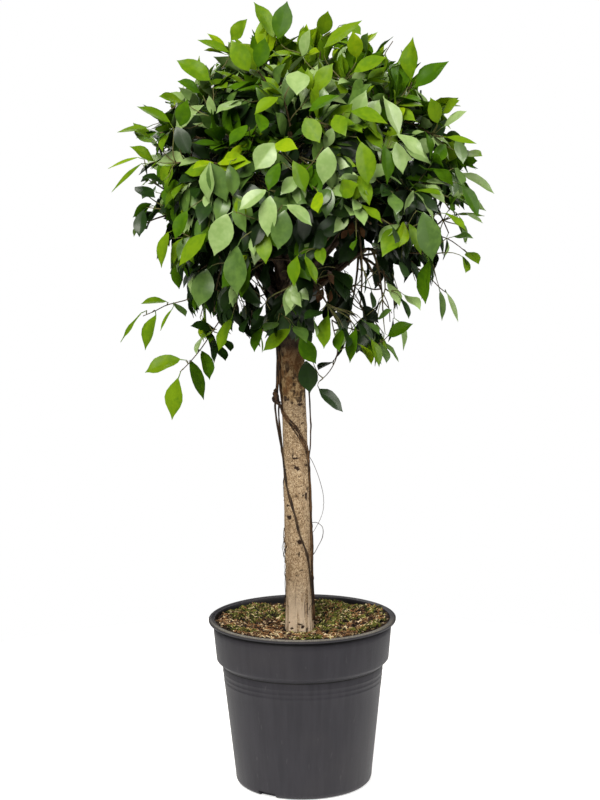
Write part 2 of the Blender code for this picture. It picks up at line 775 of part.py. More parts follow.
def main():
    clear_scene()
    materials = make_materials()
    parts = new_collection("potted_ficus")
    cutters = new_collection("cutters")
    bench = new_collection("bench")
    three = section("three_sides", 3, cutters)
    six = section("six_sides", 6, cutters)
    five = section("five_sides", 5, cutters)
    many = section("trunk_sides", TRUNK_SIDES, cutters)
    pot(parts, cutters, materials)
    soil(parts, materials)
    trunk(parts, many, materials)
    roots = aerial_roots(parts, six, materials)
    masses = make_masses()
    limbs = boughs(parts, cutters, five, many, materials, masses)
    limbs = limb_skins(limbs + [("trunk", *trunk_line())] + roots, many, bench)
    share_targets(masses)
    blank = leaf_blank()
    for mass in masses:
        pieces = grow_mass(mass, masses, limbs, (three, bench), blank)
        join_pieces("foliage_" + mass["label"], pieces, bench, parts, materials["leaf"])


main()
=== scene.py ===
"""The looks of a potted ficus standard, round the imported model: its pot, peat, bark, roots, twigs and leaves."""

import math
import random

import bpy
import numpy as np
from mathutils import Matrix, Vector, noise


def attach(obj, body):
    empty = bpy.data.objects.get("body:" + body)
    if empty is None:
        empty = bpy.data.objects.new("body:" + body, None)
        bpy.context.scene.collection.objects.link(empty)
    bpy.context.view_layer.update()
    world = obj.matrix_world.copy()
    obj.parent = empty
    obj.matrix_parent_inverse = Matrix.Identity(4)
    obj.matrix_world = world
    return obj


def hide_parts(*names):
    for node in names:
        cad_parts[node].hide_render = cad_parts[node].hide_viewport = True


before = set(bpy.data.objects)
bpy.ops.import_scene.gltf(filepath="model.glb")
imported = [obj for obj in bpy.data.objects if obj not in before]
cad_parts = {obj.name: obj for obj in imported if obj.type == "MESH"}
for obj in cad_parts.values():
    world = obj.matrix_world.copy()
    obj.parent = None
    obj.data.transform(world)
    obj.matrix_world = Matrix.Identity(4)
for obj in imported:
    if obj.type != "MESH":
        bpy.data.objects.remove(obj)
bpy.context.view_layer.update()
bpy.ops.object.select_all(action="DESELECT")

SEED = 20
GOLDEN_ANGLE = math.pi * (3 - math.sqrt(5))

# The photograph's camera, with the picture taken as 600 x 800.
PICTURE = (600.0, 800.0)
FOCAL_PIXELS = 1919.39
CAMERA_PLACE = Vector((0.0, -3.4, 1.18))
CAMERA_PITCH = math.radians(8.0)
CAMERA_ROLL = math.radians(0.6)

# The pot.
POT_HEIGHT = 0.3055
RIM_RADIUS = 0.170
RIM_DEPTH = 0.0065
# The collar's plain side begins this many lip depths below the rim.
COLLAR_TOP_BELOW = 2.1
COLLAR_TOP_HEIGHT = POT_HEIGHT - RIM_DEPTH * COLLAR_TOP_BELOW
COLLAR_TOP_RADIUS = 0.1620
COLLAR_FOOT_RADIUS = 0.1566
COLLAR_FOOT_HEIGHT = 0.2298
STEP_RADIUS = 0.1475
STEP_HEIGHT = 0.2217
BODY_TOP_RADIUS = 0.1452
BODY_TOP_HEIGHT = 0.2085
BASE_RADIUS = 0.1245
BASE_ROUNDING = 0.011
POT_WALL = 0.0028
POT_FLOOR = 0.005
POT_SIDES = 144
RIB_HEIGHTS = (0.2085, 0.1990, 0.1905)
RIB_LIFT = 0.0003
DRAIN_NOTCHES = 3
DRAIN_NOTCH_SIZE = (0.036, 0.030, 0.020)
DRAIN_NOTCH_TURN = math.radians(-123)

# The peat.
SOIL_HEIGHT = 0.2815
SOIL_RISE = 0.0215
SOIL_DIP_TURN = math.radians(105)
SOIL_RADIUS = 0.1585
SOIL_CELLS = 130

# The trunk: (height, radius), thickest at the foot.
TRUNK_TOP = 0.975
TRUNK_RADII = (
    (0.2700, 0.0225), (0.2770, 0.0243), (0.2850, 0.0254), (0.295, 0.0250), (0.315, 0.0244), (0.40, 0.0237),
    (0.52, 0.0229), (0.60, 0.0218), (0.66, 0.0212), (0.72, 0.0208), (0.765, 0.0216), (0.81, 0.0230), (0.90, 0.0245),
    (0.945, 0.0230), (0.975, 0.0170),
)
TRUNK_FOOT_X = -0.0055
TRUNK_TOP_X = -0.0215
TRUNK_BOW = 0.003
TRUNK_SIDES = 96
TRUNK_RINGS = 470

# The crown's shape and its tiers of boughs, as in the solids.
CROWN_CENTRE = Vector((0.004, 0.0, 1.052))
CROWN_REACH = 0.335
CROWN_LOW_REACH = 0.285
CROWN_LOW_START = 1.3
CROWN_DEPTH_SHARE = 0.95
CROWN_LUMP = 0.0225
TIERS = (
    dict(name="top", count=1, angle=88, stagger=0, turn=0, leave=0.960, sag=0.0, thick=0.0105, thin=0.0050, end=0.42),
    dict(name="upper", count=5, angle=40, stagger=9, turn=-94, leave=0.930, sag=0.05, thick=0.0090, thin=0.0040,
         end=0.44),
    dict(name="middle", count=6, angle=4, stagger=11, turn=-58, leave=0.900, sag=0.02, thick=0.0082, thin=0.0036,
         end=0.47),
    dict(name="lower", count=6, angle=-36, stagger=5, turn=-92, leave=0.864, sag=0.0, thick=0.0070, thin=0.0032,
         end=0.50),
)
# How far the leaves reach in the picture, from the right over the top, every so many degrees.
REACH_EVERY = 15.0
PICTURE_REACH = (
    0.335, 0.322, 0.325, 0.335, 0.325, 0.315, 0.312, 0.315, 0.315, 0.318, 0.330, 0.325,
    0.305, 0.285, 0.285, 0.278, 0.272, 0.262, 0.265, 0.285, 0.305, 0.305, 0.320, 0.325,
)
LEAF_OVERHANG = 0.040
STEM_END = 0.70
STEM_BEND = 0.4
STEM_BARE = 0.40
STEM_LAST = 0.92
STEM_AHEAD = 0.85
STEM_ASIDE = 1.6
TWIGS = 92
TWIG_REACH = 0.83
TWIG_RADIUS = 0.0024
TWIG_TIP_RADIUS = 0.0011
BARE_CAP = math.radians(-74)
# Where light shows through the crown, in the photograph's pixels: (x, y, radius).
CROWN_GAPS = (
    (340, 0, 15), (304, 0, 13), (171, 339, 14), (439, 89, 10), (124, 194, 10), (166, 286, 9), (453, 272, 9),
    (431, 313, 9), (334, 381, 8), (198, 49, 8), (153, 349, 8), (418, 319, 7), (241, 341, 7), (123, 140, 7),
    (122, 150, 7), (114, 171, 7), (161, 227, 7), (396, 313, 6), (475, 226, 6), (130, 341, 6), (326, 356, 6),
    (163, 378, 6), (266, 0, 6), (461, 123, 6), (376, 43, 6), (395, 342, 6), (187, 396, 6), (396, 50, 6),
    (449, 287, 6), (342, 372, 6), (133, 204, 5), (471, 244, 5), (144, 356, 5), (457, 260, 5), (384, 325, 5),
    (343, 356, 5), (252, 25, 5), (426, 57, 5), (175, 89, 5), (126, 165, 5), (487, 196, 5), (148, 236, 5),
    (164, 273, 5), (143, 308, 5), (359, 362, 5), (206, 385, 5), (207, 59, 4), (135, 139, 4), (475, 148, 4),
    (409, 289, 4), (190, 335, 4), (171, 298, 4), (356, 14, 4), (334, 20, 4), (163, 106, 4), (133, 162, 4),
    (355, 309, 4), (180, 74, 4), (383, 332, 4), (363, 28, 4), (425, 90, 4), (446, 231, 4), (165, 266, 4),
    (330, 249, 5), (344, 268, 5), (372, 262, 4), (356, 283, 4), (256, 280, 4), (241, 300, 4), (396, 268, 4),
    (232, 338, 4), (384, 283, 4), (262, 306, 4), (352, 325, 4), (130, 119, 4), (183, 294, 5), (395, 55, 4),
    (416, 292, 4), (372, 287, 4), (256, 353, 4), (151, 260, 4), (361, 269, 4), (192, 78, 4), (161, 90, 4),
    (316, 341, 4), (248, 354, 4), (262, 359, 4), (153, 171, 3), (157, 194, 3), (378, 292, 3), (330, 348, 3),
    (150, 146, 3), (146, 200, 3), (404, 291, 3), (379, 313, 3), (290, 36, 3), (370, 248, 3), (355, 264, 3),
    (418, 284, 3), (392, 303, 3), (412, 306, 3), (319, 320, 3), (437, 276, 2), (452, 224, 2), (459, 209, 2),
    (140, 240, 8), (148, 263, 6), (483, 128, 6), (127, 229, 6), (135, 178, 4), (153, 243, 4), (198, 316, 4),
    (440, 262, 4), (214, 61, 3), (185, 73, 3), (447, 131, 3), (439, 222, 4), (198, 334, 3), (296, 26, 3),
    (387, 50, 3), (333, 53, 2), (209, 67, 3), (169, 106, 3), (449, 113, 3), (154, 151, 3), (142, 167, 3),
    (159, 188, 4), (149, 186, 3), (151, 209, 3), (155, 220, 3), (171, 246, 3), (362, 259, 3), (396, 276, 3),
    (366, 297, 3), (402, 297, 3), (265, 301, 3), (359, 314, 3), (200, 375, 3), (447, 213, 4), (457, 239, 3),
    (449, 253, 3), (155, 266, 3), (438, 269, 3), (421, 270, 3), (361, 284, 3), (435, 294, 3), (385, 304, 3),
    (146, 91, 7), (131, 248, 7),
)
# Where the photograph shows the trunk and limbs through the leaves: (x, y, radius).
BARE_GAPS = (
    (284, 265, 9), (283, 278, 10), (284, 350, 10), (284, 362, 12), (288, 376, 13), (292, 392, 14), (296, 408, 18),
    (318, 268, 5), (326, 292, 6), (330, 306, 5),
)
# Shoots that stand out of the ball, by the pixels they pass, and how far behind the picture's middle plane.
SPRIGS = (
    dict(depth=-0.050, route=((236, 296), (216, 326), (203, 346), (191, 361), (180, 372))),
    dict(depth=-0.020, route=((206, 292), (186, 300), (167, 305), (155, 311), (143, 316))),
    dict(depth=-0.075, route=((332, 322), (337, 346), (336, 359), (329, 372), (320, 381))),
    dict(depth=-0.040, route=((352, 322), (368, 346), (380, 343), (388, 336))),
    dict(depth=-0.030, route=((374, 84), (384, 56), (393, 41))),
    dict(depth=-0.010, route=((425, 232), (446, 238), (460, 247), (468, 254))),
    dict(depth=-0.010, route=((410, 262), (428, 276), (440, 288), (447, 293))),
    dict(depth=-0.050, route=((281, 92), (279, 62), (276, 40))),
    dict(depth=-0.030, route=((318, 80), (320, 56), (322, 36))),
    dict(depth=-0.020, route=((392, 122), (404, 102), (412, 82))),
    dict(depth=0.000, route=((190, 160), (168, 160), (154, 162), (143, 166))),
)
SPRIG_RADIUS = 0.0013
# Leafy sprays that hang below the ball, in the same way, with how many leaves each carries.
HANGING_SPRAYS = (
    dict(depth=-0.060, leaves=7, route=((352, 288), (364, 312), (370, 340))),
    dict(depth=-0.020, leaves=6, route=((330, 284), (346, 306), (353, 334))),
    dict(depth=-0.050, leaves=6, route=((240, 284), (230, 308), (224, 330))),
    dict(depth=0.030, leaves=6, route=((252, 286), (252, 312), (247, 336))),
    dict(depth=-0.030, leaves=5, route=((378, 284), (388, 304), (390, 322))),
    dict(depth=0.050, leaves=5, route=((268, 296), (266, 318), (258, 338))),
    dict(depth=-0.080, leaves=5, route=((306, 300), (312, 320), (320, 338))),
    dict(depth=0.040, leaves=6, route=((350, 294), (372, 318), (384, 334))),
    dict(depth=0.060, leaves=6, route=((214, 276), (206, 298), (200, 318))),
)
# The leaves that make the picture known: (base x, base y, tip x, tip y, width seen) in its pixels, and the tone, which
# paints the light on each: dark ones painted shade, pale ones a painted reflection.
PLACED_LEAVES = (
    (274, 37, 255, 1, 15, 1), (278, 39, 287, 1, 20, 4), (231, 40, 246, 19, 14, 1), (229, 52, 198, 38, 8, 1),
    (249, 71, 231, 40, 20, 1), (258, 67, 265, 37, 17, 4), (322, 35, 328, 11, 16, 1), (324, 48, 361, 19, 11, 1),
    (357, 58, 353, 32, 16, 0), (354, 72, 386, 55, 14, 1), (411, 80, 413, 37, 17, 1), (415, 87, 448, 60, 17, 4),
    (302, 56, 310, 29, 11, 5), (298, 71, 297, 94, 24, 5), (210, 80, 177, 60, 17, 1), (200, 92, 179, 80, 10, 4),
    (309, 111, 340, 94, 11, 4), (350, 111, 388, 123, 12, 1), (384, 98, 400, 137, 13, 5),
    (305, 118, 320, 143, 20, 1), (335, 115, 345, 135, 17, 1), (274, 143, 255, 170, 24, 5),
    (275, 144, 297, 148, 14, 0), (328, 147, 324, 185, 21, 5), (361, 142, 368, 186, 20, 1),
    (384, 145, 387, 185, 14, 4), (396, 142, 403, 174, 15, 5), (397, 134, 427, 157, 12, 5),
    (279, 163, 267, 190, 14, 4), (293, 161, 306, 193, 15, 1), (210, 163, 227, 202, 22, 2),
    (210, 162, 207, 203, 14, 5), (229, 165, 234, 196, 14, 2), (266, 190, 239, 210, 14, 5),
    (270, 196, 267, 237, 20, 5), (287, 205, 313, 225, 13, 5), (318, 192, 317, 212, 12, 0),
    (285, 210, 278, 250, 22, 2), (227, 214, 214, 256, 25, 5), (206, 233, 178, 265, 14, 1),
    (237, 246, 235, 296, 23, 2), (207, 269, 198, 308, 23, 2), (423, 212, 434, 261, 25, 2),
    (429, 261, 424, 304, 14, 4), (297, 256, 294, 287, 13, 1), (305, 256, 317, 284, 9, 1),
    (290, 329, 263, 351, 13, 1), (328, 316, 323, 349, 14, 1), (300, 338, 316, 364, 17, 4),
    (388, 336, 412, 323, 13, 4), (306, 361, 310, 393, 20, 3), (319, 389, 344, 411, 13, 3),
    (180, 359, 144, 371, 15, 1), (178, 378, 172, 420, 17, 1), (190, 360, 204, 400, 13, 4),
    (202, 351, 210, 380, 13, 4), (214, 328, 191, 325, 10, 3), (231, 319, 218, 351, 11, 1),
    (166, 301, 141, 303, 7, 1), (156, 315, 143, 350, 12, 1), (142, 312, 119, 342, 4, 1), (139, 157, 107, 167, 3, 0),
    (142, 163, 110, 191, 4, 1), (154, 161, 130, 146, 10, 1), (148, 127, 117, 132, 6, 1),
    (170, 122, 137, 106, 10, 1), (182, 101, 159, 96, 8, 1), (443, 112, 459, 100, 10, 1), (444, 126, 466, 110, 8, 5),
    (438, 123, 431, 98, 14, 1), (462, 173, 495, 193, 9, 5), (462, 185, 480, 216, 11, 4), (454, 236, 473, 237, 6, 2),
    (467, 252, 479, 263, 11, 1), (464, 257, 467, 272, 7, 1), (447, 293, 459, 322, 5, 5), (440, 291, 443, 321, 7, 2),
    (405, 295, 421, 309, 9, 5), (176, 127, 190, 154, 17, 3), (180, 126, 187, 100, 16, 4),
    (135, 187, 155, 196, 10, 3), (143, 210, 139, 237, 13, 3), (163, 181, 142, 177, 7, 3),
    (168, 232, 160, 268, 12, 1), (187, 211, 174, 239, 13, 4), (260, 113, 261, 132, 14, 4),
    (278, 97, 254, 113, 11, 1), (247, 125, 229, 145, 12, 4), (362, 345, 372, 364, 8, 0), (385, 342, 399, 362, 4, 2),
    (261, 328, 253, 351, 10, 4), (464, 153, 482, 155, 8, 1), (457, 139, 464, 163, 12, 2),
    (446, 213, 467, 231, 7, 1), (457, 214, 485, 215, 4, 1), (328, 270, 334, 285, 6, 6), (323, 289, 317, 303, 8, 6),
    (331, 291, 329, 303, 6, 6), (353, 222, 350, 236, 7, 6), (360, 227, 364, 238, 6, 6), (347, 230, 341, 239, 6, 6),
    (316, 283, 327, 279, 4, 6), (356, 240, 352, 249, 5, 4), (344, 24, 361, 34, 9, 1), (174, 303, 186, 316, 7, 2),
    (204, 326, 210, 343, 8, 4), (218, 343, 224, 358, 8, 3), (402, 262, 405, 277, 9, 3), (458, 168, 462, 184, 8, 2),
    (358, 322, 362, 336, 8, 3), (262, 306, 256, 320, 7, 3), (247, 318, 243, 333, 8, 3), (381, 343, 387, 363, 8, 2),
    (172, 309, 159, 330, 3, 1), (210, 331, 202, 339, 6, 1), (201, 338, 195, 353, 5, 5), (209, 331, 215, 363, 8, 3),
    (222, 338, 231, 351, 8, 3), (216, 346, 226, 360, 9, 3), (295, 326, 307, 341, 11, 2), (322, 311, 304, 319, 9, 3),
    (314, 320, 317, 337, 4, 5), (341, 330, 338, 351, 11, 4), (345, 331, 348, 347, 7, 3),
    (356, 329, 349, 363, 12, 4), (372, 340, 380, 367, 9, 1), (366, 322, 380, 333, 6, 2), (378, 319, 390, 309, 5, 2),
    (401, 298, 409, 319, 6, 3), (331, 362, 318, 370, 7, 3), (447, 137, 477, 143, 6, 1), (277, 322, 264, 331, 9, 2),
    (372, 292, 374, 308, 6, 3), (394, 228, 396, 243, 7, 3), (366, 53, 367, 33, 8, 2), (150, 137, 135, 130, 5, 1),
    (466, 213, 483, 223, 4, 5),
)
# A leaf whose tip stands further than this from the picture's middle line grows beside the trunk, not before it.
SIDE_LEAF_TIP = 182.0
# How far out they grow, as a share of the crown's reach, and the dried ones deeper in; their least length, their
# width for their length, how far they may be turned from the camera, and the pixels kept free round them.
PLACED_REACH = 0.95
DRIED_REACH = 0.60
PLACED_LEAST = 0.050
PLACED_WIDTH = 0.54
PLACED_TURN_LIMIT = math.radians(58)
ROOM_ROUND_PLACED = 1.0
# The bare wood is hidden only by what is nearer to the camera than this.
BARE_DEPTH = 3.38
LEAF_TRIES = 5
# The finer shoots, in layers: how many, how far out, how many leaves each and how large.
LAYERS = (
    dict(count=250, out=(0.86, 1.00), leaves=(3, 6), turn=0.0, size=1.0),
    dict(count=200, out=(0.68, 0.88), leaves=(3, 6), turn=1.1, size=0.88),
    dict(count=120, out=(0.42, 0.68), leaves=(3, 5), turn=2.3, size=0.78),
)
# Low down fewer shoots grow: how low that is full, the most left out, and how much more on the right.
THIN_FULL = 0.65
THIN_MOST = 0.72
THIN_RIGHT = 0.12
SHOOT_RADIUS = 0.0013
SHOOT_TIP_RADIUS = 0.0006
SHOOT_STEPS = 5

# Leaves: their length and their width for it, how much they hang when low and when high, and their spread.
LEAF_LENGTH = (0.046, 0.073)
LEAF_SHAPE = (0.46, 0.56)
LEAF_HANGS = (1.30, -0.25)
LEAF_HANG_SLOPE = 0.85
LEAF_HANG_LEVEL = 0.36
LEAF_ASIDE = 0.72
LEAF_SPREAD = 0.30
FACE_SPREAD = 0.42
# The greens: young and bright partly painted light on the outside and top, dark and deep painted shade inside and
# below, pale a painted reflection; full and dried are greens of their own.
LEAF_TONES = ("young", "bright", "middle", "dark", "full", "pale", "dried", "deep")
FULL, PALE_REFLECTION, DRIED, DEEP_SHADE = (LEAF_TONES.index(tone) for tone in ("full", "pale", "dried", "deep"))
# The least painted light of the first three tones, the painted light below which a leaf is in deep painted shade, and
# which sprays are full or pale.
TONE_LEVELS = (1.00, 0.42, -0.15)
DEEP_SHADE_LEVEL = -0.68
FULL_SHARE = 0.36
PALE_REFLECTION_SHARE = 0.62
SPRAY_TONE_SPREAD = 0.30
LEAF_TONE_SPREAD = 0.18


def mix(low, high, share):
    return low + (high - low) * share


def clamp(value):
    return min(1.0, max(0.0, value))


def eased(value):
    value = clamp(value)
    return value * value * (3.0 - 2.0 * value)


def along(stops, value):
    """The second number of the stops, read at a value of the first, eased between them."""
    if value <= stops[0][0]:
        return stops[0][1]
    for (low, first), (high, second) in zip(stops, stops[1:]):
        if value <= high:
            return mix(first, second, eased((value - low) / (high - low)))
    return stops[-1][1]


def bezier(start, bend, end, share):
    rest = 1.0 - share
    return start * rest * rest + bend * 2.0 * rest * share + end * share * share


def on_line(points, share):
    """The place at a share of a line's points, and the way the line runs there."""
    whole = share * (len(points) - 1)
    step = min(int(whole), len(points) - 2)
    way = (points[step + 1] - points[step]).normalized()
    return points[step].lerp(points[step + 1], whole - step), way


# Finishes.

class Term:
    """One varying value of a finish; sums and products take it like a number."""

    def __init__(self, finish, socket):
        self.finish = finish
        self.socket = socket

    def maths(self, operation, *values):
        return self.finish.node("ShaderNodeMath", {"operation": operation}, dict(enumerate(values)))

    def __add__(self, other):
        return self.maths("ADD", self, other)

    def __radd__(self, other):
        return self.maths("ADD", other, self)

    def __sub__(self, other):
        return self.maths("SUBTRACT", self, other)

    def __rsub__(self, other):
        return self.maths("SUBTRACT", other, self)

    def __mul__(self, other):
        return self.maths("MULTIPLY", self, other)

    def __rmul__(self, other):
        return self.maths("MULTIPLY", other, self)

    def __pow__(self, other):
        return self.maths("POWER", self, other)

    def step(self, low, high):
        """0 below low and 1 above high, eased between; low may be the greater."""
        settings = {"interpolation_type": "SMOOTHSTEP"}
        if low < high:
            return self.finish.node("ShaderNodeMapRange", settings, {0: self, 1: low, 2: high})
        return 1.0 - self.finish.node("ShaderNodeMapRange", settings, {0: self, 1: high, 2: low})


class Finish:
    """A material under construction, on the principled shader."""

    def __init__(self, name, **constants):
        self.material = bpy.data.materials.new(name)
        self.material.use_nodes = True
        self.tree = self.material.node_tree
        self.shader = self.tree.nodes["Principled BSDF"]
        self.object_place = None
        self.feed(**constants)

    def node(self, kind, settings=None, values=None, out=0):
        """Any node, with its settings and the values and links of its sockets; gives one of its outputs."""
        made = self.tree.nodes.new(kind)
        for name, value in (settings or {}).items():
            setattr(made, name, value)
        for name, value in (values or {}).items():
            self.give(made.inputs[name], value)
        return Term(self, made.outputs[out])

    def give(self, socket, value):
        if isinstance(value, Term):
            self.tree.links.new(value.socket, socket)
        elif isinstance(value, tuple) and socket.type == "RGBA":
            socket.default_value = (*value, 1.0)
        else:
            socket.default_value = value

    def feed(self, **values):
        """Sets the shader's own sockets, named with _ for a space."""
        for name, value in values.items():
            self.give(self.shader.inputs[name.replace("_", " ").title().replace("Ior", "IOR")], value)

    def place(self, stretch=(1.0, 1.0, 1.0)):
        if self.object_place is None:
            self.object_place = self.node("ShaderNodeTexCoord", out=3)
        return self.node("ShaderNodeMapping", None, {0: self.object_place, 3: stretch})

    def axis(self, letter):
        return self.node("ShaderNodeSeparateXYZ", None, {0: self.place()}, out="XYZ".index(letter))

    def noise(self, scale, detail=3.0, stretch=(1.0, 1.0, 1.0), rough=0.55):
        values = {"Vector": self.place(stretch), "Scale": scale, "Detail": detail, "Roughness": rough}
        return self.node("ShaderNodeTexNoise", None, values)

    def cells(self, scale, stretch=(1.0, 1.0, 1.0)):
        return self.node("ShaderNodeTexVoronoi", None, {"Vector": self.place(stretch), "Scale": scale})

    def colour(self, share, low, high):
        """One colour where the share is 0, the other where it is 1."""
        values = {0: share, 6: low, 7: high}
        return self.node("ShaderNodeMix", {"data_type": "RGBA"}, values, out=2)

    def relief(self, height, distance, strength):
        return self.node("ShaderNodeBump", None, {"Height": height, "Distance": distance, "Strength": strength})


PLASTIC_STREAKS = ((0.0146, 0.0136, 0.0190), (0.0206, 0.0192, 0.0256))
PLASTIC_CLOUD = (0.033, 0.030, 0.033)
PLASTIC_SCUFF = (0.080, 0.075, 0.078)
# Painted shadow under the lip and under the collar, and painted shade on the inner wall.
LIP_PAINTED_SHADOW = (0.0030, 0.0028, 0.0034)
COLLAR_PAINTED_SHADOW = (0.0024, 0.0022, 0.0028)
INNER_PAINTED_SHADE = (0.0036, 0.0034, 0.0044)
# Dust on the rim, which at its front is also a painted highlight.
RIM_DUST_AND_HIGHLIGHT = (0.26, 0.24, 0.20)
# Where the pot's painted shade, its dust and its painted highlight lie: the two edges of a band, each as (none here,
# full here).
LIP_BAND = ((POT_HEIGHT - 0.0150, POT_HEIGHT - 0.0100), (POT_HEIGHT - 0.0052, POT_HEIGHT - 0.0066))
COLLAR_BAND = ((STEP_HEIGHT - 0.0026, STEP_HEIGHT - 0.0012), (STEP_HEIGHT + 0.0022, STEP_HEIGHT + 0.0008))
INNER_BAND = ((0.262, 0.266), (POT_HEIGHT - 0.0020, POT_HEIGHT - 0.0050))
INNER_WALL = (COLLAR_FOOT_RADIUS - 0.0010, COLLAR_FOOT_RADIUS - 0.0018)
DUST_AND_HIGHLIGHT_TOP = (POT_HEIGHT - 0.0030, POT_HEIGHT - 0.0008)
DUST_AND_HIGHLIGHT_FRONT = (0.02, -0.12)


def pot_plastic():
    """Moulded plastic with upright streaks and a few pale scuffs, painted shade under the lip, under the collar and on
    the inner wall, and dust with a painted highlight on the front of the rim.
    """
    finish = Finish("pot_plastic", specular_ior_level=0.30)
    height = finish.axis("Z")
    streaks = finish.noise(9.0, 4.0, (9.0, 9.0, 0.55))
    clouds = finish.noise(7.0, 3.0)
    scuffs = finish.noise(160.0, 2.0, (1.0, 1.0, 0.2)).step(0.66, 0.80)
    grain = finish.noise(900.0, 2.0)
    shade = finish.colour(streaks.step(0.3, 0.7), *PLASTIC_STREAKS)
    shade = finish.colour(clouds.step(0.45, 0.75) * 0.35, shade, PLASTIC_CLOUD)
    shade = finish.colour(scuffs * 0.35, shade, PLASTIC_SCUFF)
    # Painted shadow under the lip and under the collar.
    under_lip = height.step(*LIP_BAND[0]) * height.step(*LIP_BAND[1])
    under_collar = height.step(*COLLAR_BAND[0]) * height.step(*COLLAR_BAND[1])
    shade = finish.colour(under_lip * 0.85, shade, LIP_PAINTED_SHADOW)
    shade = finish.colour(under_collar * 0.92, shade, COLLAR_PAINTED_SHADOW)
    # Painted shade on the inner wall above the peat.
    across, deep = finish.axis("X"), finish.axis("Y")
    flare = (COLLAR_TOP_RADIUS - COLLAR_FOOT_RADIUS) / (COLLAR_TOP_HEIGHT - COLLAR_FOOT_HEIGHT)
    reach = (across * across + deep * deep) ** 0.5 - (height - COLLAR_FOOT_HEIGHT) * flare
    inside = reach.step(*INNER_WALL)
    inside = inside * height.step(*INNER_BAND[0]) * height.step(*INNER_BAND[1])
    shade = finish.colour(inside * 0.75, shade, INNER_PAINTED_SHADE)
    # Dust on the top of the rim, at the front only, where it is also a painted highlight.
    dust_and_highlight = height.step(*DUST_AND_HIGHLIGHT_TOP) * finish.axis("Y").step(*DUST_AND_HIGHLIGHT_FRONT)
    shade = finish.colour(dust_and_highlight * grain.step(0.30, 0.60) * 0.85, shade, RIM_DUST_AND_HIGHLIGHT)
    finish.feed(base_color=shade, roughness=0.46 + clouds * 0.12 + scuffs * 0.1,
                normal=finish.relief(grain + streaks * 1.2, 0.0006, 0.35))
    return finish.material


PEAT_SHADES = ((0.003, 0.0018, 0.0010), (0.15, 0.092, 0.044))
PEAT_CRUMB = (0.26, 0.15, 0.07)


def peat():
    """Moist peat: near black between brown crumbs, partly painted shade in the hollows of its relief, with paler
    patches.
    """
    finish = Finish("peat", specular_ior_level=0.2)
    crumbs = finish.noise(200.0, 5.0, rough=0.75)
    patches = finish.noise(16.0, 3.0)
    # Near black where the crumbs' relief is lowest: partly painted shade.
    shade = finish.colour(crumbs.step(0.47, 0.64), *PEAT_SHADES)
    shade = finish.colour(patches.step(0.52, 0.70) * crumbs.step(0.48, 0.56) * 0.6, shade, PEAT_CRUMB)
    finish.feed(base_color=shade, roughness=0.85 + crumbs * 0.12, normal=finish.relief(crumbs, 0.006, 0.9))
    return finish.material


def plain_bits(name, first, second, scale, roughness):
    """A finish for joined small things, whose shade drifts from one to the next."""
    finish = Finish(name, specular_ior_level=0.25)
    drift = finish.noise(scale, 2.0)
    grain = finish.noise(scale * 9.0, 2.0)
    finish.feed(base_color=finish.colour(drift.step(0.35, 0.65), first, second), roughness=roughness + grain * 0.1,
                normal=finish.relief(grain, 0.0005, 0.5))
    return finish.material


BARK_STREAKS = ((0.285, 0.188, 0.103), (0.41, 0.288, 0.166))
BARK_FLECKS = (0.64, 0.50, 0.335)
BARK_PITS = (0.105, 0.060, 0.028)
BARK_PALE = (0.62, 0.49, 0.33)
BARK_BROWN = (0.125, 0.070, 0.030)
BARK_BLOTCHES = (0.175, 0.100, 0.045)
BARK_SPECKS = (0.040, 0.020, 0.009)
# A paler foot: painted light.
PAINTED_LIGHT_FOOT = (0.74, 0.59, 0.44)
BARK_MARK = (0.026, 0.012, 0.006)
# The bark under the crown, stained and darkened by painted shade, with the painted shadow of the leaves higher up; and
# the heights where each change begins and is full, the foot's painted light among them.
STAINED_AND_SHADED = ((0.150, 0.083, 0.032), (0.45, 0.305, 0.150))
STAINED_RUST = (0.22, 0.090, 0.026)
STAIN_AND_SHADE_BLACK = (0.010, 0.005, 0.002)
CROWN_PAINTED_SHADOW = (0.018, 0.008, 0.006)
PAINTED_LIGHT_FOOT_HEIGHTS = (0.40, 0.30)
STAIN_AND_SHADE_HEIGHTS = (0.698, 0.710)
CROWN_SHADOW_HEIGHTS = (0.778, 0.806)


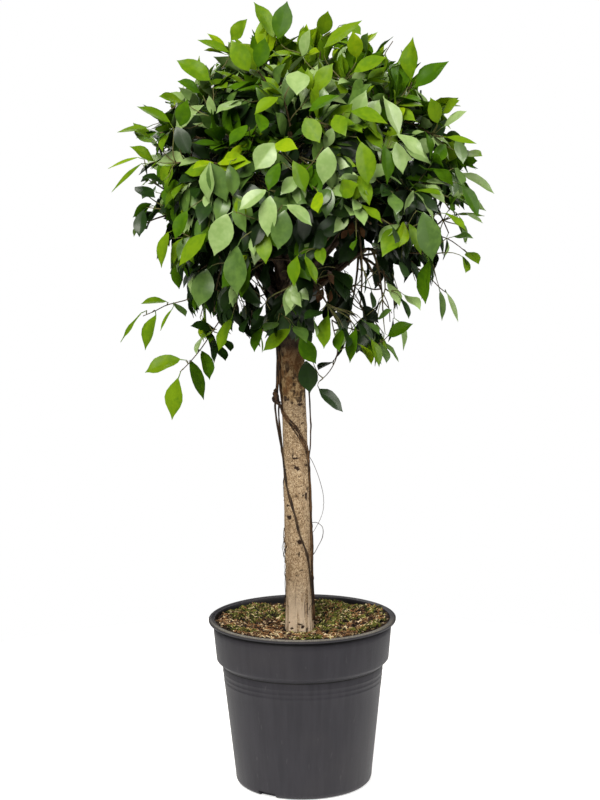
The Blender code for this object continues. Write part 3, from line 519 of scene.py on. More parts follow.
def pale_bark():
    """Pale speckled bark with a foot painted lighter, mottled brown and in painted shade under the crown; the mesh
    says where its dark marks are.
    """
    finish = Finish("bark", specular_ior_level=0.25)
    height = finish.axis("Z")
    mark = finish.node("ShaderNodeAttribute", {"attribute_name": "mark"}, out=2)
    streaks = finish.noise(24.0, 5.0, (4.0, 4.0, 0.45), 0.6)
    blotches = finish.noise(34.0, 4.0, (1.0, 1.0, 0.6))
    mottle = finish.noise(125.0, 4.0, (1.0, 1.0, 0.8), 0.6)
    fine = finish.noise(420.0, 4.0, (1.0, 1.0, 0.75), 0.75)
    pores = finish.cells(210.0, (1.0, 1.0, 1.5))
    pore_room = finish.noise(52.0, 3.0)
    shade = finish.colour(streaks.step(0.30, 0.70), *BARK_STREAKS)
    shade = finish.colour(fine.step(0.50, 0.62) * 0.80, shade, BARK_FLECKS)
    shade = finish.colour(fine.step(0.49, 0.38) * 0.85, shade, BARK_PITS)
    shade = finish.colour(mottle.step(0.53, 0.66) * 0.30, shade, BARK_PALE)
    shade = finish.colour(mottle.step(0.45, 0.35) * 0.45, shade, BARK_BROWN)
    shade = finish.colour(blotches.step(0.52, 0.66) * 0.55, shade, BARK_BLOTCHES)
    specks = pores.step(0.30, 0.14) * pore_room.step(0.47, 0.58)
    shade = finish.colour(specks * 0.85, shade, BARK_SPECKS)
    # The foot painted lighter: painted light.
    foot = height.step(*PAINTED_LIGHT_FOOT_HEIGHTS)
    shade = finish.colour(foot * streaks.step(0.36, 0.52) * 0.75, shade, PAINTED_LIGHT_FOOT)
    # Under the crown, stains mixed with painted shade, and higher up the painted shadow of the leaves.
    crown_shade = (height + (blotches - 0.5) * 0.05).step(*STAIN_AND_SHADE_HEIGHTS)
    stained_and_shaded = finish.colour(mottle.step(0.46, 0.57), *STAINED_AND_SHADED)
    stained_and_shaded = finish.colour(blotches.step(0.53, 0.64) * 0.55, stained_and_shaded, STAINED_RUST)
    stained_and_shaded = finish.colour((mottle * 0.45 + blotches * 0.55).step(0.49, 0.44), stained_and_shaded, STAIN_AND_SHADE_BLACK)
    stained_and_shaded = finish.colour(height.step(*CROWN_SHADOW_HEIGHTS) * 0.88, stained_and_shaded, CROWN_PAINTED_SHADOW)
    shade = finish.colour(crown_shade * 0.95, shade, stained_and_shaded)
    shade = finish.colour(mark.step(0.03, 0.75) * (1.0 - crown_shade * 0.30), shade, BARK_MARK)
    finish.feed(base_color=shade, roughness=0.66 + fine * 0.2,
                normal=finish.relief(streaks * 0.6 + fine * 0.8 - specks * 0.6, 0.0026, 0.9))
    return finish.material


KNOT_BROWN_AND_SHADE = (0.012, 0.006, 0.003)


def twig_bark(name, first, second, dark_above=9.0):
    """Bark of limbs and roots; above a height it may be darker, partly painted shade."""
    finish = Finish(name, specular_ior_level=0.3)
    grain = finish.noise(260.0, 4.0, (1.0, 1.0, 0.25))
    patches = finish.noise(40.0, 2.0)
    shade = finish.colour((grain * 0.6 + patches * 0.4).step(0.40, 0.60), first, second)
    # From this height up, near black: the knot's dark bark and painted shade under the crown.
    knotted_and_shaded = (finish.axis("Z") + (patches - 0.5) * 0.03).step(dark_above, dark_above + 0.008)
    shade = finish.colour(knotted_and_shaded * grain.step(0.60, 0.40) * 0.9, shade, KNOT_BROWN_AND_SHADE)
    finish.feed(base_color=shade, roughness=0.7 + grain * 0.15, normal=finish.relief(grain, 0.0010, 0.7))
    return finish.material


def leaf_finish(name, first, second, roughness, sheen, gloss):
    finish = Finish(name, specular_ior_level=gloss, coat_roughness=0.26)
    drift = finish.noise(13.0, 2.0)
    mottle = finish.noise(110.0, 1.0)
    shade = finish.colour((drift * 0.62 + mottle * 0.38).step(0.38, 0.62), first, second)
    finish.feed(base_color=shade, roughness=roughness + mottle * 0.10, coat_weight=sheen * (0.7 + mottle * 0.6),
                normal=finish.relief(mottle, 0.0005, 0.25))
    return finish.material


# Building helpers.

# How near two corners lie that are made one, on a tube and along a seam.
DOUBLES = 1e-6
SEAM_DOUBLES = 1e-5


def active(item):
    bpy.ops.object.select_all(action="DESELECT")
    item.select_set(True)
    bpy.context.view_layer.objects.active = item
    return item


def finished(name, nodes, materials, smooth_below=None):
    """Names the active object, dresses it, settles it at the origin and tells the frame what it is."""
    item = bpy.context.view_layer.objects.active
    item.name = name
    item.data.name = name
    active(item)
    bpy.ops.object.transform_apply(location=True, rotation=True, scale=True)
    item.data.materials.clear()
    for material in materials:
        item.data.materials.append(material)
    if smooth_below is None:
        bpy.ops.object.shade_smooth()
    else:
        bpy.ops.object.shade_smooth_by_angle(angle=smooth_below)
    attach(item, "root")
    if nodes:
        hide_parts(*nodes)
    return item


def edit_all():
    bpy.ops.object.mode_set(mode="EDIT")
    bpy.ops.mesh.select_all(action="SELECT")


def leave_edit():
    """Turns every face of the mesh in edit mode outwards, and leaves edit mode."""
    bpy.ops.mesh.select_all(action="SELECT")
    bpy.ops.mesh.normals_make_consistent(inside=False)
    bpy.ops.object.mode_set(mode="OBJECT")


def turned(profile, sides):
    """A turned body: a circle extruded ring by ring along (radius, height), closed at both ends."""
    radius, height = profile[0]
    bpy.ops.mesh.primitive_circle_add(vertices=sides, radius=radius, fill_type="NGON")
    item = bpy.context.active_object
    edit_all()
    bpy.ops.transform.translate(value=(0.0, 0.0, height))
    for (before, low), (after, high) in zip(profile, profile[1:]):
        bpy.ops.mesh.extrude_region_move(TRANSFORM_OT_translate={"value": (0.0, 0.0, high - low)})
        share = after / before
        bpy.ops.transform.resize(value=(share, share, 1.0), center_override=(0.0, 0.0, high))
    leave_edit()
    return item


def cut_away(item, cutter):
    """Cuts one body out of another, and takes it away."""
    modifier = item.modifiers.new("cut", "BOOLEAN")
    modifier.operation = "DIFFERENCE"
    modifier.object = cutter
    modifier.solver = "EXACT"
    active(item)
    bpy.ops.object.modifier_apply(modifier=modifier.name)
    bpy.data.objects.remove(cutter, do_unlink=True)


def from_arrays(name, corners, faces, kinds=None):
    """One joined mesh from arrays of corners and faces."""
    mesh = bpy.data.meshes.new(name)
    mesh.from_pydata(corners, [], faces)
    if kinds is not None:
        mesh.polygons.foreach_set("material_index", kinds)
    mesh.update()
    item = bpy.data.objects.new(name, mesh)
    bpy.context.scene.collection.objects.link(item)
    return active(item)


def copies(blank, places):
    """Corners, faces and face kinds of a blank set down at each place; a place bends the blank's corners."""
    own = np.array([corner.co for corner in blank.data.vertices])
    loops = [tuple(face.vertices) for face in blank.data.polygons]
    kind = [face.material_index for face in blank.data.polygons]
    corners = []
    faces = []
    kinds = []
    for number, place in enumerate(places):
        corners.append(place(own))
        first = number * len(own)
        faces += [tuple(first + corner for corner in loop) for loop in loops]
        kinds += kind
    return np.concatenate(corners), faces, kinds


def tubes(lines, sides_level=0):
    """Capped tubes along lines of (points, radii), as one mesh."""
    curve = bpy.data.curves.new("tubes", "CURVE")
    curve.dimensions = "3D"
    curve.bevel_depth = 1.0
    curve.bevel_resolution = sides_level
    curve.use_fill_caps = True
    for points, radii in lines:
        spline = curve.splines.new("POLY")
        spline.points.add(len(points) - 1)
        for stop, place, radius in zip(spline.points, points, radii):
            stop.co = (*place, 1.0)
            stop.radius = radius
    item = bpy.data.objects.new("tubes", curve)
    bpy.context.scene.collection.objects.link(item)
    active(item)
    bpy.ops.object.convert(target="MESH")
    item = bpy.context.active_object
    edit_all()
    bpy.ops.mesh.remove_doubles(threshold=DOUBLES)
    leave_edit()
    return item


# The pot.

# The inner wall's top, as (drawn in, lip depths below the rim).
INNER_LIP = ((0.0012, 1.6), (0.0008, 0.7))
# The outside from the lip to the collar, as (radius, lip depths below the rim).
UNDER_LIP = (
    (RIM_RADIUS - 0.0002, 0.78), (RIM_RADIUS - 0.0009, 0.98), (RIM_RADIUS - 0.0022, 1.04),
    (COLLAR_TOP_RADIUS - 0.0010, 1.02), (COLLAR_TOP_RADIUS - 0.0022, 1.10), (COLLAR_TOP_RADIUS - 0.0022, 1.50),
    (COLLAR_TOP_RADIUS - 0.0004, COLLAR_TOP_BELOW),
)
# The fillet under the collar and the step, as (radius, height).
STEP_SECTION = (
    (COLLAR_FOOT_RADIUS, COLLAR_FOOT_HEIGHT + 0.0030),
    (COLLAR_FOOT_RADIUS - 0.0003, COLLAR_FOOT_HEIGHT + 0.0010),
    (COLLAR_FOOT_RADIUS - 0.0014, COLLAR_FOOT_HEIGHT - 0.0004),
    (STEP_RADIUS + 0.0030, STEP_HEIGHT + 0.0040),
    (STEP_RADIUS + 0.0020, STEP_HEIGHT + 0.0030),
    (STEP_RADIUS + 0.0018, STEP_HEIGHT + 0.0018),
    (STEP_RADIUS + 0.0008, STEP_HEIGHT + 0.0008),
    (STEP_RADIUS - 0.0012, STEP_HEIGHT + 0.0002),
    (STEP_RADIUS - 0.0014, STEP_HEIGHT - 0.0014),
    (STEP_RADIUS - 0.0008, STEP_HEIGHT - 0.0030),
)
# A rib round the body, as (how far it stands out, height from its middle), and the plain body below the ribs.
RIB_SECTION = ((0.0, 0.0022), (RIB_LIFT, 0.0010), (RIB_LIFT, -0.0004), (0.0, -0.0016))
BODY_RADIUS = STEP_RADIUS - 0.0010
BODY_FROM = RIB_HEIGHTS[-1] - 0.004
BODY_TO = BASE_ROUNDING * 1.3
LIP_MIDDLE = 0.42
AXIS_RADIUS = 0.001
FOOT_RING = 0.03
# How many steps the lip, the collar, the body and the rounded foot are turned in.
LIP_STEPS, COLLAR_STEPS, BODY_STEPS, FOOT_STEPS = 10, 6, 13, 6
POT_SMOOTH_BELOW = math.radians(35)


def pot_profile():
    """The pot's section from the middle of its floor, over the lip, and down to the middle of its foot."""
    inner_base = BASE_RADIUS - POT_WALL
    profile = [
        (AXIS_RADIUS, POT_FLOOR),
        (inner_base - BASE_ROUNDING, POT_FLOOR),
        (inner_base, POT_FLOOR + BASE_ROUNDING),
        (BODY_TOP_RADIUS - POT_WALL, BODY_TOP_HEIGHT),
        (STEP_RADIUS - POT_WALL, STEP_HEIGHT),
        (COLLAR_FOOT_RADIUS - POT_WALL, COLLAR_FOOT_HEIGHT),
    ]
    profile += [(COLLAR_TOP_RADIUS - POT_WALL - drawn_in, POT_HEIGHT - RIM_DEPTH * below)
                for drawn_in, below in INNER_LIP]
    lip_radius = mix(COLLAR_TOP_RADIUS, RIM_RADIUS, 0.50)
    lip_height = POT_HEIGHT - RIM_DEPTH * LIP_MIDDLE
    lip_half = (RIM_RADIUS - COLLAR_TOP_RADIUS) / 2
    for i in range(LIP_STEPS + 1):
        turn = math.radians(mix(180, 0, i / LIP_STEPS))
        profile.append((lip_radius + lip_half * math.cos(turn) - (POT_WALL if i < 2 else 0.0),
                        lip_height + RIM_DEPTH * LIP_MIDDLE * math.sin(turn)))
    profile += [(radius, POT_HEIGHT - RIM_DEPTH * below) for radius, below in UNDER_LIP]
    for i in range(1, COLLAR_STEPS):
        share = i / COLLAR_STEPS
        profile.append((mix(COLLAR_TOP_RADIUS, COLLAR_FOOT_RADIUS, share),
                        mix(COLLAR_TOP_HEIGHT, STEP_SECTION[0][1], share)))
    profile += STEP_SECTION
    for rib in RIB_HEIGHTS:
        radius = mix(BODY_RADIUS, BASE_RADIUS, (STEP_HEIGHT - rib) / STEP_HEIGHT)
        profile += [(radius + out, rib + up) for out, up in RIB_SECTION]
    body_radius = mix(BODY_RADIUS, BASE_RADIUS, 1.0 - BODY_FROM / STEP_HEIGHT)
    for i in range(1, BODY_STEPS):
        share = i / BODY_STEPS
        profile.append((mix(body_radius, BASE_RADIUS, share), mix(BODY_FROM, BODY_TO, share)))
    for i in range(FOOT_STEPS + 1):
        turn = math.pi / 2 * i / FOOT_STEPS
        profile.append((BASE_RADIUS - BASE_ROUNDING * (1.0 - math.cos(turn)), BASE_ROUNDING * (1.0 - math.sin(turn))))
    profile += [(BASE_RADIUS - FOOT_RING, 0.0), (AXIS_RADIUS, 0.0)]
    return profile


def make_pot(material):
    item = turned(pot_profile(), POT_SIDES)
    for i in range(DRAIN_NOTCHES):
        turn = DRAIN_NOTCH_TURN + math.tau * i / DRAIN_NOTCHES
        bpy.ops.mesh.primitive_cube_add(size=1.0)
        notch = bpy.context.active_object
        notch.matrix_world = (Matrix.Rotation(turn, 4, "Z") @ Matrix.Translation((BASE_RADIUS, 0.0, 0.0))
                              @ Matrix.Rotation(math.pi / 2, 4, "Z") @ Matrix.Diagonal((*DRAIN_NOTCH_SIZE, 1.0)))
        bpy.context.view_layer.update()
        cut_away(item, notch)
    active(item)
    finished("pot_turned", ["pot"], [material], POT_SMOOTH_BELOW)


# The peat and what lies on it.

# The hollow before the trunk: how deep, from which radius, how wide, and how soon it is full.
HOLLOW_DEPTH, HOLLOW_RADIUS, HOLLOW_WIDTH, HOLLOW_EASE = 0.004, 0.026, 0.030, 0.015
# Lumps of the peat: (how many to the metre, their place in the noise, how high).
SOIL_LUMPS = ((28.0, 3.0, 0.0040), (75.0, 9.0, 0.0040), (150.0, 5.0, 0.0026))
SOIL_EDGE_LUMPS = 0.5
SOIL_DIP = 0.55
SOIL_LEVEL_RADIUS = 0.04
SOIL_BELOW_RIM = 0.003
SOIL_SKIRT = 0.02
SOIL_SKIRT_SHARE = 0.985


def grain_at(x, y, z):
    return noise.noise(Vector((x, y, z)))


def soil_height(x, y):
    """How high the peat lies: up to the wall, lower behind, with a hollow before the trunk, and lumpy."""
    radius = math.hypot(x, y)
    dip = clamp(math.cos(math.atan2(y, x) - SOIL_DIP_TURN)) * SOIL_DIP
    outward = clamp((radius - SOIL_LEVEL_RADIUS) / (SOIL_RADIUS - SOIL_LEVEL_RADIUS))
    level = SOIL_HEIGHT + SOIL_RISE * (1.0 - dip) * outward
    level -= HOLLOW_DEPTH * clamp(1.0 - (radius - HOLLOW_RADIUS) / HOLLOW_WIDTH) * clamp(-y / HOLLOW_EASE)
    lumps = 0.0
    for scale, place, tall in SOIL_LUMPS:
        lumps += grain_at(x * scale, y * scale, place) * tall
    return min(level + lumps * mix(1.0, SOIL_EDGE_LUMPS, radius / SOIL_RADIUS), POT_HEIGHT - SOIL_BELOW_RIM)


def make_soil(material):
    """The peat's surface: a grid drawn out to a disc, with a skirt that closes it below."""
    bpy.ops.mesh.primitive_grid_add(x_subdivisions=SOIL_CELLS, y_subdivisions=SOIL_CELLS, size=2.0)
    item = bpy.context.active_object
    for corner in item.data.vertices:
        x, y = corner.co.x, corner.co.y
        flat = Vector((x * math.sqrt(1.0 - y * y / 2.0), y * math.sqrt(1.0 - x * x / 2.0), 0.0)) * SOIL_RADIUS
        corner.co = (flat.x, flat.y, soil_height(flat.x, flat.y))
    edit_all()
    bpy.ops.mesh.region_to_loop()
    bpy.ops.mesh.extrude_edges_move(TRANSFORM_OT_translate={"value": (0.0, 0.0, -SOIL_SKIRT)})
    bpy.ops.transform.resize(value=(SOIL_SKIRT_SHARE, SOIL_SKIRT_SHARE, 0.0))
    bpy.ops.mesh.edge_face_add()
    leave_edit()
    finished("peat_surface", ["potting_soil"], [material])


SPOT_FROM_WALL = 0.006
SPOT_FROM_TRUNK = 0.030


def soil_spots(count, dice, keep=None):
    """Seeded places on the peat, clear of the trunk and inside the wall."""
    made = 0
    while made < count:
        radius = math.sqrt(dice.random()) * (SOIL_RADIUS - SPOT_FROM_WALL)
        turn = dice.uniform(0.0, math.tau)
        x, y = radius * math.cos(turn), radius * math.sin(turn)
        if math.hypot(x - TRUNK_FOOT_X, y) < SPOT_FROM_TRUNK or (keep and not keep(x, y)):
            continue
        made += 1
        yield x, y


# Moss grows in patches, more behind and on the right; above a level it lifts what lies on it.
MOSS_PATCHES = ((19.0, 1.7, 1.0), (60.0, 4.0, 0.35))
MOSS_BEHIND, MOSS_RIGHT, MOSS_BEFORE = 0.34, 0.16, 0.20
MOSS_FROM = 0.10
MOSS_THICK_FROM = 0.16
MOSS_THICKENING = 2.5
MOSS_THICKNESS = 0.004


def moss_here(x, y):
    return moss_field(x, y) > MOSS_FROM


def moss_field(x, y):
    """How thick the moss grows: most at the back and on the right."""
    field = 0.0
    for scale, place, share in MOSS_PATCHES:
        field += share * grain_at(x * scale, y * scale, place)
    behind_it, beside_it, before_it = clamp(y * 12.0 + 0.1), clamp(x * 10.0), clamp(-y * 9.0 - 0.3)
    return field + MOSS_BEHIND * behind_it + MOSS_RIGHT * beside_it - MOSS_BEFORE * before_it


def moss_lift(x, y):
    return MOSS_THICKNESS * clamp((moss_field(x, y) - MOSS_THICK_FROM) * MOSS_THICKENING)


# The rusty tufts: x, y, radius, and how much a step in y counts.
RUSTY_TUFTS = ((-0.088, -0.055, 0.018, 0.8), (0.060, 0.085, 0.014, 1.0))


def rust_here(x, y):
    """The rusty tuft at the front left, and a smaller one behind."""
    return any(math.hypot(x - at_x, (y - at_y) * flat) < radius for at_x, at_y, radius, flat in RUSTY_TUFTS)


def set_down(place, shape):
    """Bends a blank's corners by a matrix and puts them at a place."""
    return lambda own: own @ np.array(shape).T + np.array(place)


def strew(name, blank, spots, material, smooth_below=None):
    """One joined piece of a blank set down at every spot."""
    corners, faces, _ = copies(blank, [set_down(*spot) for spot in spots])
    bpy.data.objects.remove(blank, do_unlink=True)
    from_arrays(name, corners, faces)
    finished(name, [], [material], smooth_below)


CHIP_BEVEL = 0.22
CHIP_TILT = 0.5
CHIP_RISE = 0.4
CHIP_SMOOTH_BELOW = math.radians(30)


def make_chips(name, count, sizes, dice, material):
    """Bits of bark and peat: bevelled flakes, thrown on the peat at all angles."""
    bpy.ops.mesh.primitive_cube_add(size=1.0)
    chip = bpy.context.active_object
    edit_all()
    bpy.ops.mesh.bevel(offset=CHIP_BEVEL, segments=1)
    bpy.ops.object.mode_set(mode="OBJECT")
    spots = []
    for x, y in soil_spots(count, dice):
        turn = Matrix.Rotation(dice.uniform(0, math.tau), 3, "Z") @ Matrix.Rotation(dice.gauss(0, CHIP_TILT), 3, "X")
        size = Vector([dice.uniform(*span) for span in sizes])
        spots.append((Vector((x, y, soil_height(x, y) + size.z * CHIP_RISE)), turn @ Matrix.Diagonal(size)))
    strew(name, chip, spots, material, CHIP_SMOOTH_BELOW)


FIBRE_TAPER = (0.6, 1.0, 1.0, 0.9, 0.4)
FIBRE_LIFT = (0.0004, 0.0050)
FIBRE_FROM_WALL = 0.003


def make_fibres(name, count, sizes, dice, material, keep=None):
    """Curled fibres strewn on the peat: sizes are their length, how far they curl, and their radius."""
    lengths, curls, thicknesses = sizes
    lines = []
    for x, y in soil_spots(count, dice, keep):
        length = dice.uniform(*lengths)
        turn = dice.uniform(0, math.tau)
        bend = dice.gauss(0, curls)
        points = []
        for i in range(len(FIBRE_TAPER)):
            share = i / (len(FIBRE_TAPER) - 1) - 0.5
            way = turn + bend * share
            px, py = x + math.cos(way) * length * share, y + math.sin(way) * length * share
            inside = min(1.0, (SOIL_RADIUS - FIBRE_FROM_WALL) / max(1e-6, math.hypot(px, py)))
            px, py = px * inside, py * inside
            points.append(Vector((px, py, soil_height(px, py) + moss_lift(px, py) + dice.uniform(*FIBRE_LIFT))))
        radius = dice.uniform(*thicknesses)
        lines.append((points, [radius * share for share in FIBRE_TAPER]))
    tubes(lines)
    finished(name, [], [material])


MOSS_BLADE_RADIUS = 0.15
MOSS_BLADE_LEAN = 0.75
MOSS_BLADE_RISE = 0.2


def make_moss(name, count, heights, dice, material, keep):
    """Moss: pointed leaves thrown up in all directions where it grows."""
    bpy.ops.mesh.primitive_cone_add(vertices=3, radius1=MOSS_BLADE_RADIUS, radius2=0.0, depth=1.0)
    blade = bpy.context.active_object
    spots = []
    for x, y in soil_spots(count, dice, keep):
        lean = (Matrix.Rotation(dice.gauss(0, MOSS_BLADE_LEAN), 3, "X")
                @ Matrix.Rotation(dice.gauss(0, MOSS_BLADE_LEAN), 3, "Y"))
        tall = dice.uniform(*heights)
        rise = soil_height(x, y) + moss_lift(x, y) + tall * MOSS_BLADE_RISE
        spots.append((Vector((x, y, rise)), lean @ Matrix.Diagonal((tall,) * 3)))
    strew(name, blade, spots, material)


# What lies on the peat, in the order of strewing: its finish, how many, and the spans of its sizes.
CHIPS = (
    ("chips_dark", "dark_chips", 900, ((0.003, 0.011), (0.002, 0.006), (0.001, 0.003))),
    ("chips_tan", "tan_chips", 400, ((0.003, 0.009), (0.0018, 0.004), (0.001, 0.0025))),
)
FIBRES = (
    ("fibres_brown", "brown_fibres", 1000, ((0.006, 0.018), 1.3, (0.0005, 0.0012)), None),
    ("fibres_pale", "pale_fibres", 400, ((0.005, 0.014), 1.2, (0.0005, 0.0011)), None),
    ("moss_strands", "green_moss", 1300, ((0.005, 0.011), 1.8, (0.0007, 0.0014)), moss_here),
    ("moss_strands_pale", "pale_moss", 380, ((0.003, 0.008), 1.8, (0.0005, 0.0010)), moss_here),
)
MOSSES = (
    ("moss_green", "green_moss", 2200, (0.0030, 0.0070), moss_here),
    ("moss_pale", "pale_moss", 260, (0.0030, 0.0060), moss_here),
    ("moss_rusty", "rusty_moss", 700, (0.0030, 0.0060), rust_here),
)


def make_litter(materials):
    dice = random.Random(f"{SEED} litter")
    for name, finish, count, sizes in CHIPS:
        make_chips(name, count, sizes, dice, materials[finish])
    for name, finish, count, sizes, keep in FIBRES:
        make_fibres(name, count, sizes, dice, materials[finish], keep)
    for name, finish, count, heights, keep in MOSSES:
        make_moss(name, count, heights, dice, materials[finish], keep)


# The trunk and boughs.

def trunk_centre(height):
    share = (height - SOIL_HEIGHT) / (TRUNK_TOP - SOIL_HEIGHT)
    lean = mix(TRUNK_FOOT_X, TRUNK_TOP_X, share * share)
    return Vector((lean, TRUNK_BOW * math.sin(math.pi * share), height))


def trunk_radius(height):
    return along(TRUNK_RADII, height)


def front_way(degrees):
    """A level direction, in degrees from the front towards the right."""
    return Vector((math.sin(math.radians(degrees)), -math.cos(math.radians(degrees)), 0.0))


# Marks in the bark: (height, degrees from the front, half width, half height, how dark).
BARK_MARKS = (
    (0.599, -2, 0.0062, 0.0016, 1.0), (0.603, -14, 0.0012, 0.0050, 0.7), (0.582, 2, 0.0050, 0.0026, 1.0),
    (0.579, 10, 0.0034, 0.0020, 0.9), (0.586, -8, 0.0040, 0.0010, 0.7), (0.531, -2, 0.0028, 0.0016, 0.6),
    (0.532, 30, 0.0030, 0.0016, 0.7), (0.536, 12, 0.0018, 0.0012, 0.7), (0.529, 47, 0.0032, 0.0080, 0.75),
    (0.513, -47, 0.0048, 0.0015, 0.95), (0.491, -41, 0.0052, 0.0042, 1.0), (0.447, 8, 0.0048, 0.0050, 0.8),
    (0.424, 4, 0.0016, 0.0055, 0.8), (0.449, -82, 0.0024, 0.0024, 1.0), (0.436, -65, 0.0026, 0.0022, 0.9),
    (0.408, -68, 0.0018, 0.0024, 0.9), (0.400, -64, 0.0014, 0.0014, 0.8), (0.377, -45, 0.0015, 0.0014, 0.8),
    (0.327, -58, 0.0020, 0.0016, 0.9), (0.299, -44, 0.0016, 0.0014, 0.8), (0.296, 4, 0.0050, 0.0014, 0.7),
    (0.322, 26, 0.0010, 0.0180, 0.55), (0.322, 40, 0.0012, 0.0200, 0.6), (0.345, -14, 0.0008, 0.0260, 0.35),
    (0.662, 44, 0.0040, 0.0016, 0.6), (0.696, 34, 0.0070, 0.0026, 0.8), (0.708, 18, 0.0060, 0.0024, 0.9),
    (0.705, -30, 0.0050, 0.0020, 0.7), (0.716, 48, 0.0050, 0.0050, 0.9), (0.690, 62, 0.0030, 0.0024, 0.8),
    (0.612, -10, 0.0008, 0.0060, 0.6), (0.600, 16, 0.0034, 0.0011, 0.8), (0.673, 20, 0.0030, 0.0010, 0.5),
    (0.655, 30, 0.0008, 0.0012, 0.8), (0.565, 16, 0.0012, 0.0010, 0.7), (0.548, -20, 0.0014, 0.0010, 0.6),
    (0.500, 10, 0.0016, 0.0012, 0.6), (0.470, -20, 0.0012, 0.0010, 0.6), (0.395, 14, 0.0050, 0.0012, 0.5),
    (0.386, -6, 0.0060, 0.0011, 0.5), (0.742, 32, 0.0050, 0.0060, 0.9), (0.721, -3, 0.0055, 0.0026, 0.75),
    (0.704, 30, 0.0068, 0.0046, 0.95), (0.706, -46, 0.0042, 0.0050, 0.85), (0.700, -8, 0.0030, 0.0026, 0.7),
    (0.764, -25, 0.0050, 0.0100, 0.8), (0.727, -38, 0.0016, 0.0090, 0.7), (0.733, 9, 0.0040, 0.0028, 0.65),
    (0.750, 12, 0.0024, 0.0030, 0.6), (0.288, -32, 0.0026, 0.0024, 0.8), (0.291, 14, 0.0040, 0.0030, 0.75),
    (0.284, 34, 0.0030, 0.0060, 0.6),
)
# Seeded marks: how many, and the spans of their places, width, height for it, and darkness.
RANDOM_MARKS = 90
MARK_HEIGHTS = (0.29, 0.95)
MARK_TURNS = (55, 285)
MARK_WIDTHS = (0.0012, 0.0055)
MARK_TALLNESS = (0.25, 0.9)
MARK_STRENGTHS = (0.4, 1.0)


def more_marks():
    """Seeded marks on the sides and the back."""
    dice = random.Random(f"{SEED} marks")
    marks = list(BARK_MARKS)
    for _ in range(RANDOM_MARKS):
        wide = dice.uniform(*MARK_WIDTHS)
        marks.append((dice.uniform(*MARK_HEIGHTS), dice.uniform(*MARK_TURNS), wide,
                      wide * dice.uniform(*MARK_TALLNESS), dice.uniform(*MARK_STRENGTHS)))
    return marks


MARKS = more_marks()

TRUNK_MEAN_RADIUS = 0.0245
# How far from a mark it counts, in its own heights and in metres, and how far its ends sag.
MARK_ROOM = (3.0, 0.004)
MARK_SAG = 0.3
# How ragged its edge is, how fine, and where the edge begins and how wide it is.
MARK_RAGGED = 0.45
MARK_GRAIN = (0.35, 900.0, 1000.0)
MARK_EDGE = (0.75, 0.5)
# The raised rim round it: where it lies, how narrow it is, and for which size of mark it is full.
RIM_AT, RIM_NARROW, RIM_FULL = 1.5, 3.0, 0.004


def mark_share(height, degrees):
    """How deep in a mark a place is, from 0 to 1, and how raised the bark is round it."""
    dark = 0.0
    rim = 0.0
    for mark_height, turn, wide, tall, strength in MARKS:
        if abs(height - mark_height) > tall * MARK_ROOM[0] + MARK_ROOM[1]:
            continue
        aside = ((degrees - turn + 180.0) % 360.0 - 180.0) * math.radians(1.0) * TRUNK_MEAN_RADIUS / wide
        apart = math.hypot(aside, (height - mark_height - aside * aside * tall * MARK_SAG) / tall)
        grain = grain_at(degrees * MARK_GRAIN[0], height * MARK_GRAIN[1], wide * MARK_GRAIN[2])
        ragged = apart + MARK_RAGGED * grain
        dark = max(dark, strength * (1.0 - eased((ragged - MARK_EDGE[0]) / MARK_EDGE[1])))
        rim = max(rim, math.exp(-((apart - RIM_AT) ** 2) * RIM_NARROW) * min(wide, tall) / RIM_FULL)
    return dark, min(rim, 1.0)


# Ridges of the bark: (how fine round the trunk, how fine along it, how high), and the broad ones at its foot.
BARK_RIDGES = ((2.6, 9.0, 0.0012), (7.0, 24.0, 0.0006), (16.0, 60.0, 0.0003))
FOOT_RIDGES = (5.0, 4.0, 0.0026)
FOOT_RIDGES_PLACE = 7.0
FOOT_TALL = 0.10
MARK_RIM_LIFT = 0.0006
MARK_DEPTH = 0.0009


def bark_lift(height, degrees):
    """How far the bark stands out of its even radius at a place."""
    way = front_way(degrees)
    lift = 0.0
    for round_it, along_it, tall in BARK_RIDGES:
        lift += grain_at(way.x * round_it, way.y * round_it, height * along_it) * tall
    foot = 1.0 - eased((height - SOIL_HEIGHT) / FOOT_TALL)
    round_it, along_it, tall = FOOT_RIDGES
    lift += foot * tall * grain_at(way.x * round_it, way.y * round_it, height * along_it + FOOT_RIDGES_PLACE)
    dark, rim = mark_share(height, degrees)
    return lift + rim * MARK_RIM_LIFT - dark * MARK_DEPTH


# The relief of the boughs, in layers of (how much finer, how high).
LIMB_GRAIN = 70.0
LIMB_KNOTS = ((1.0, 0.0007), (3.0, 0.0003))


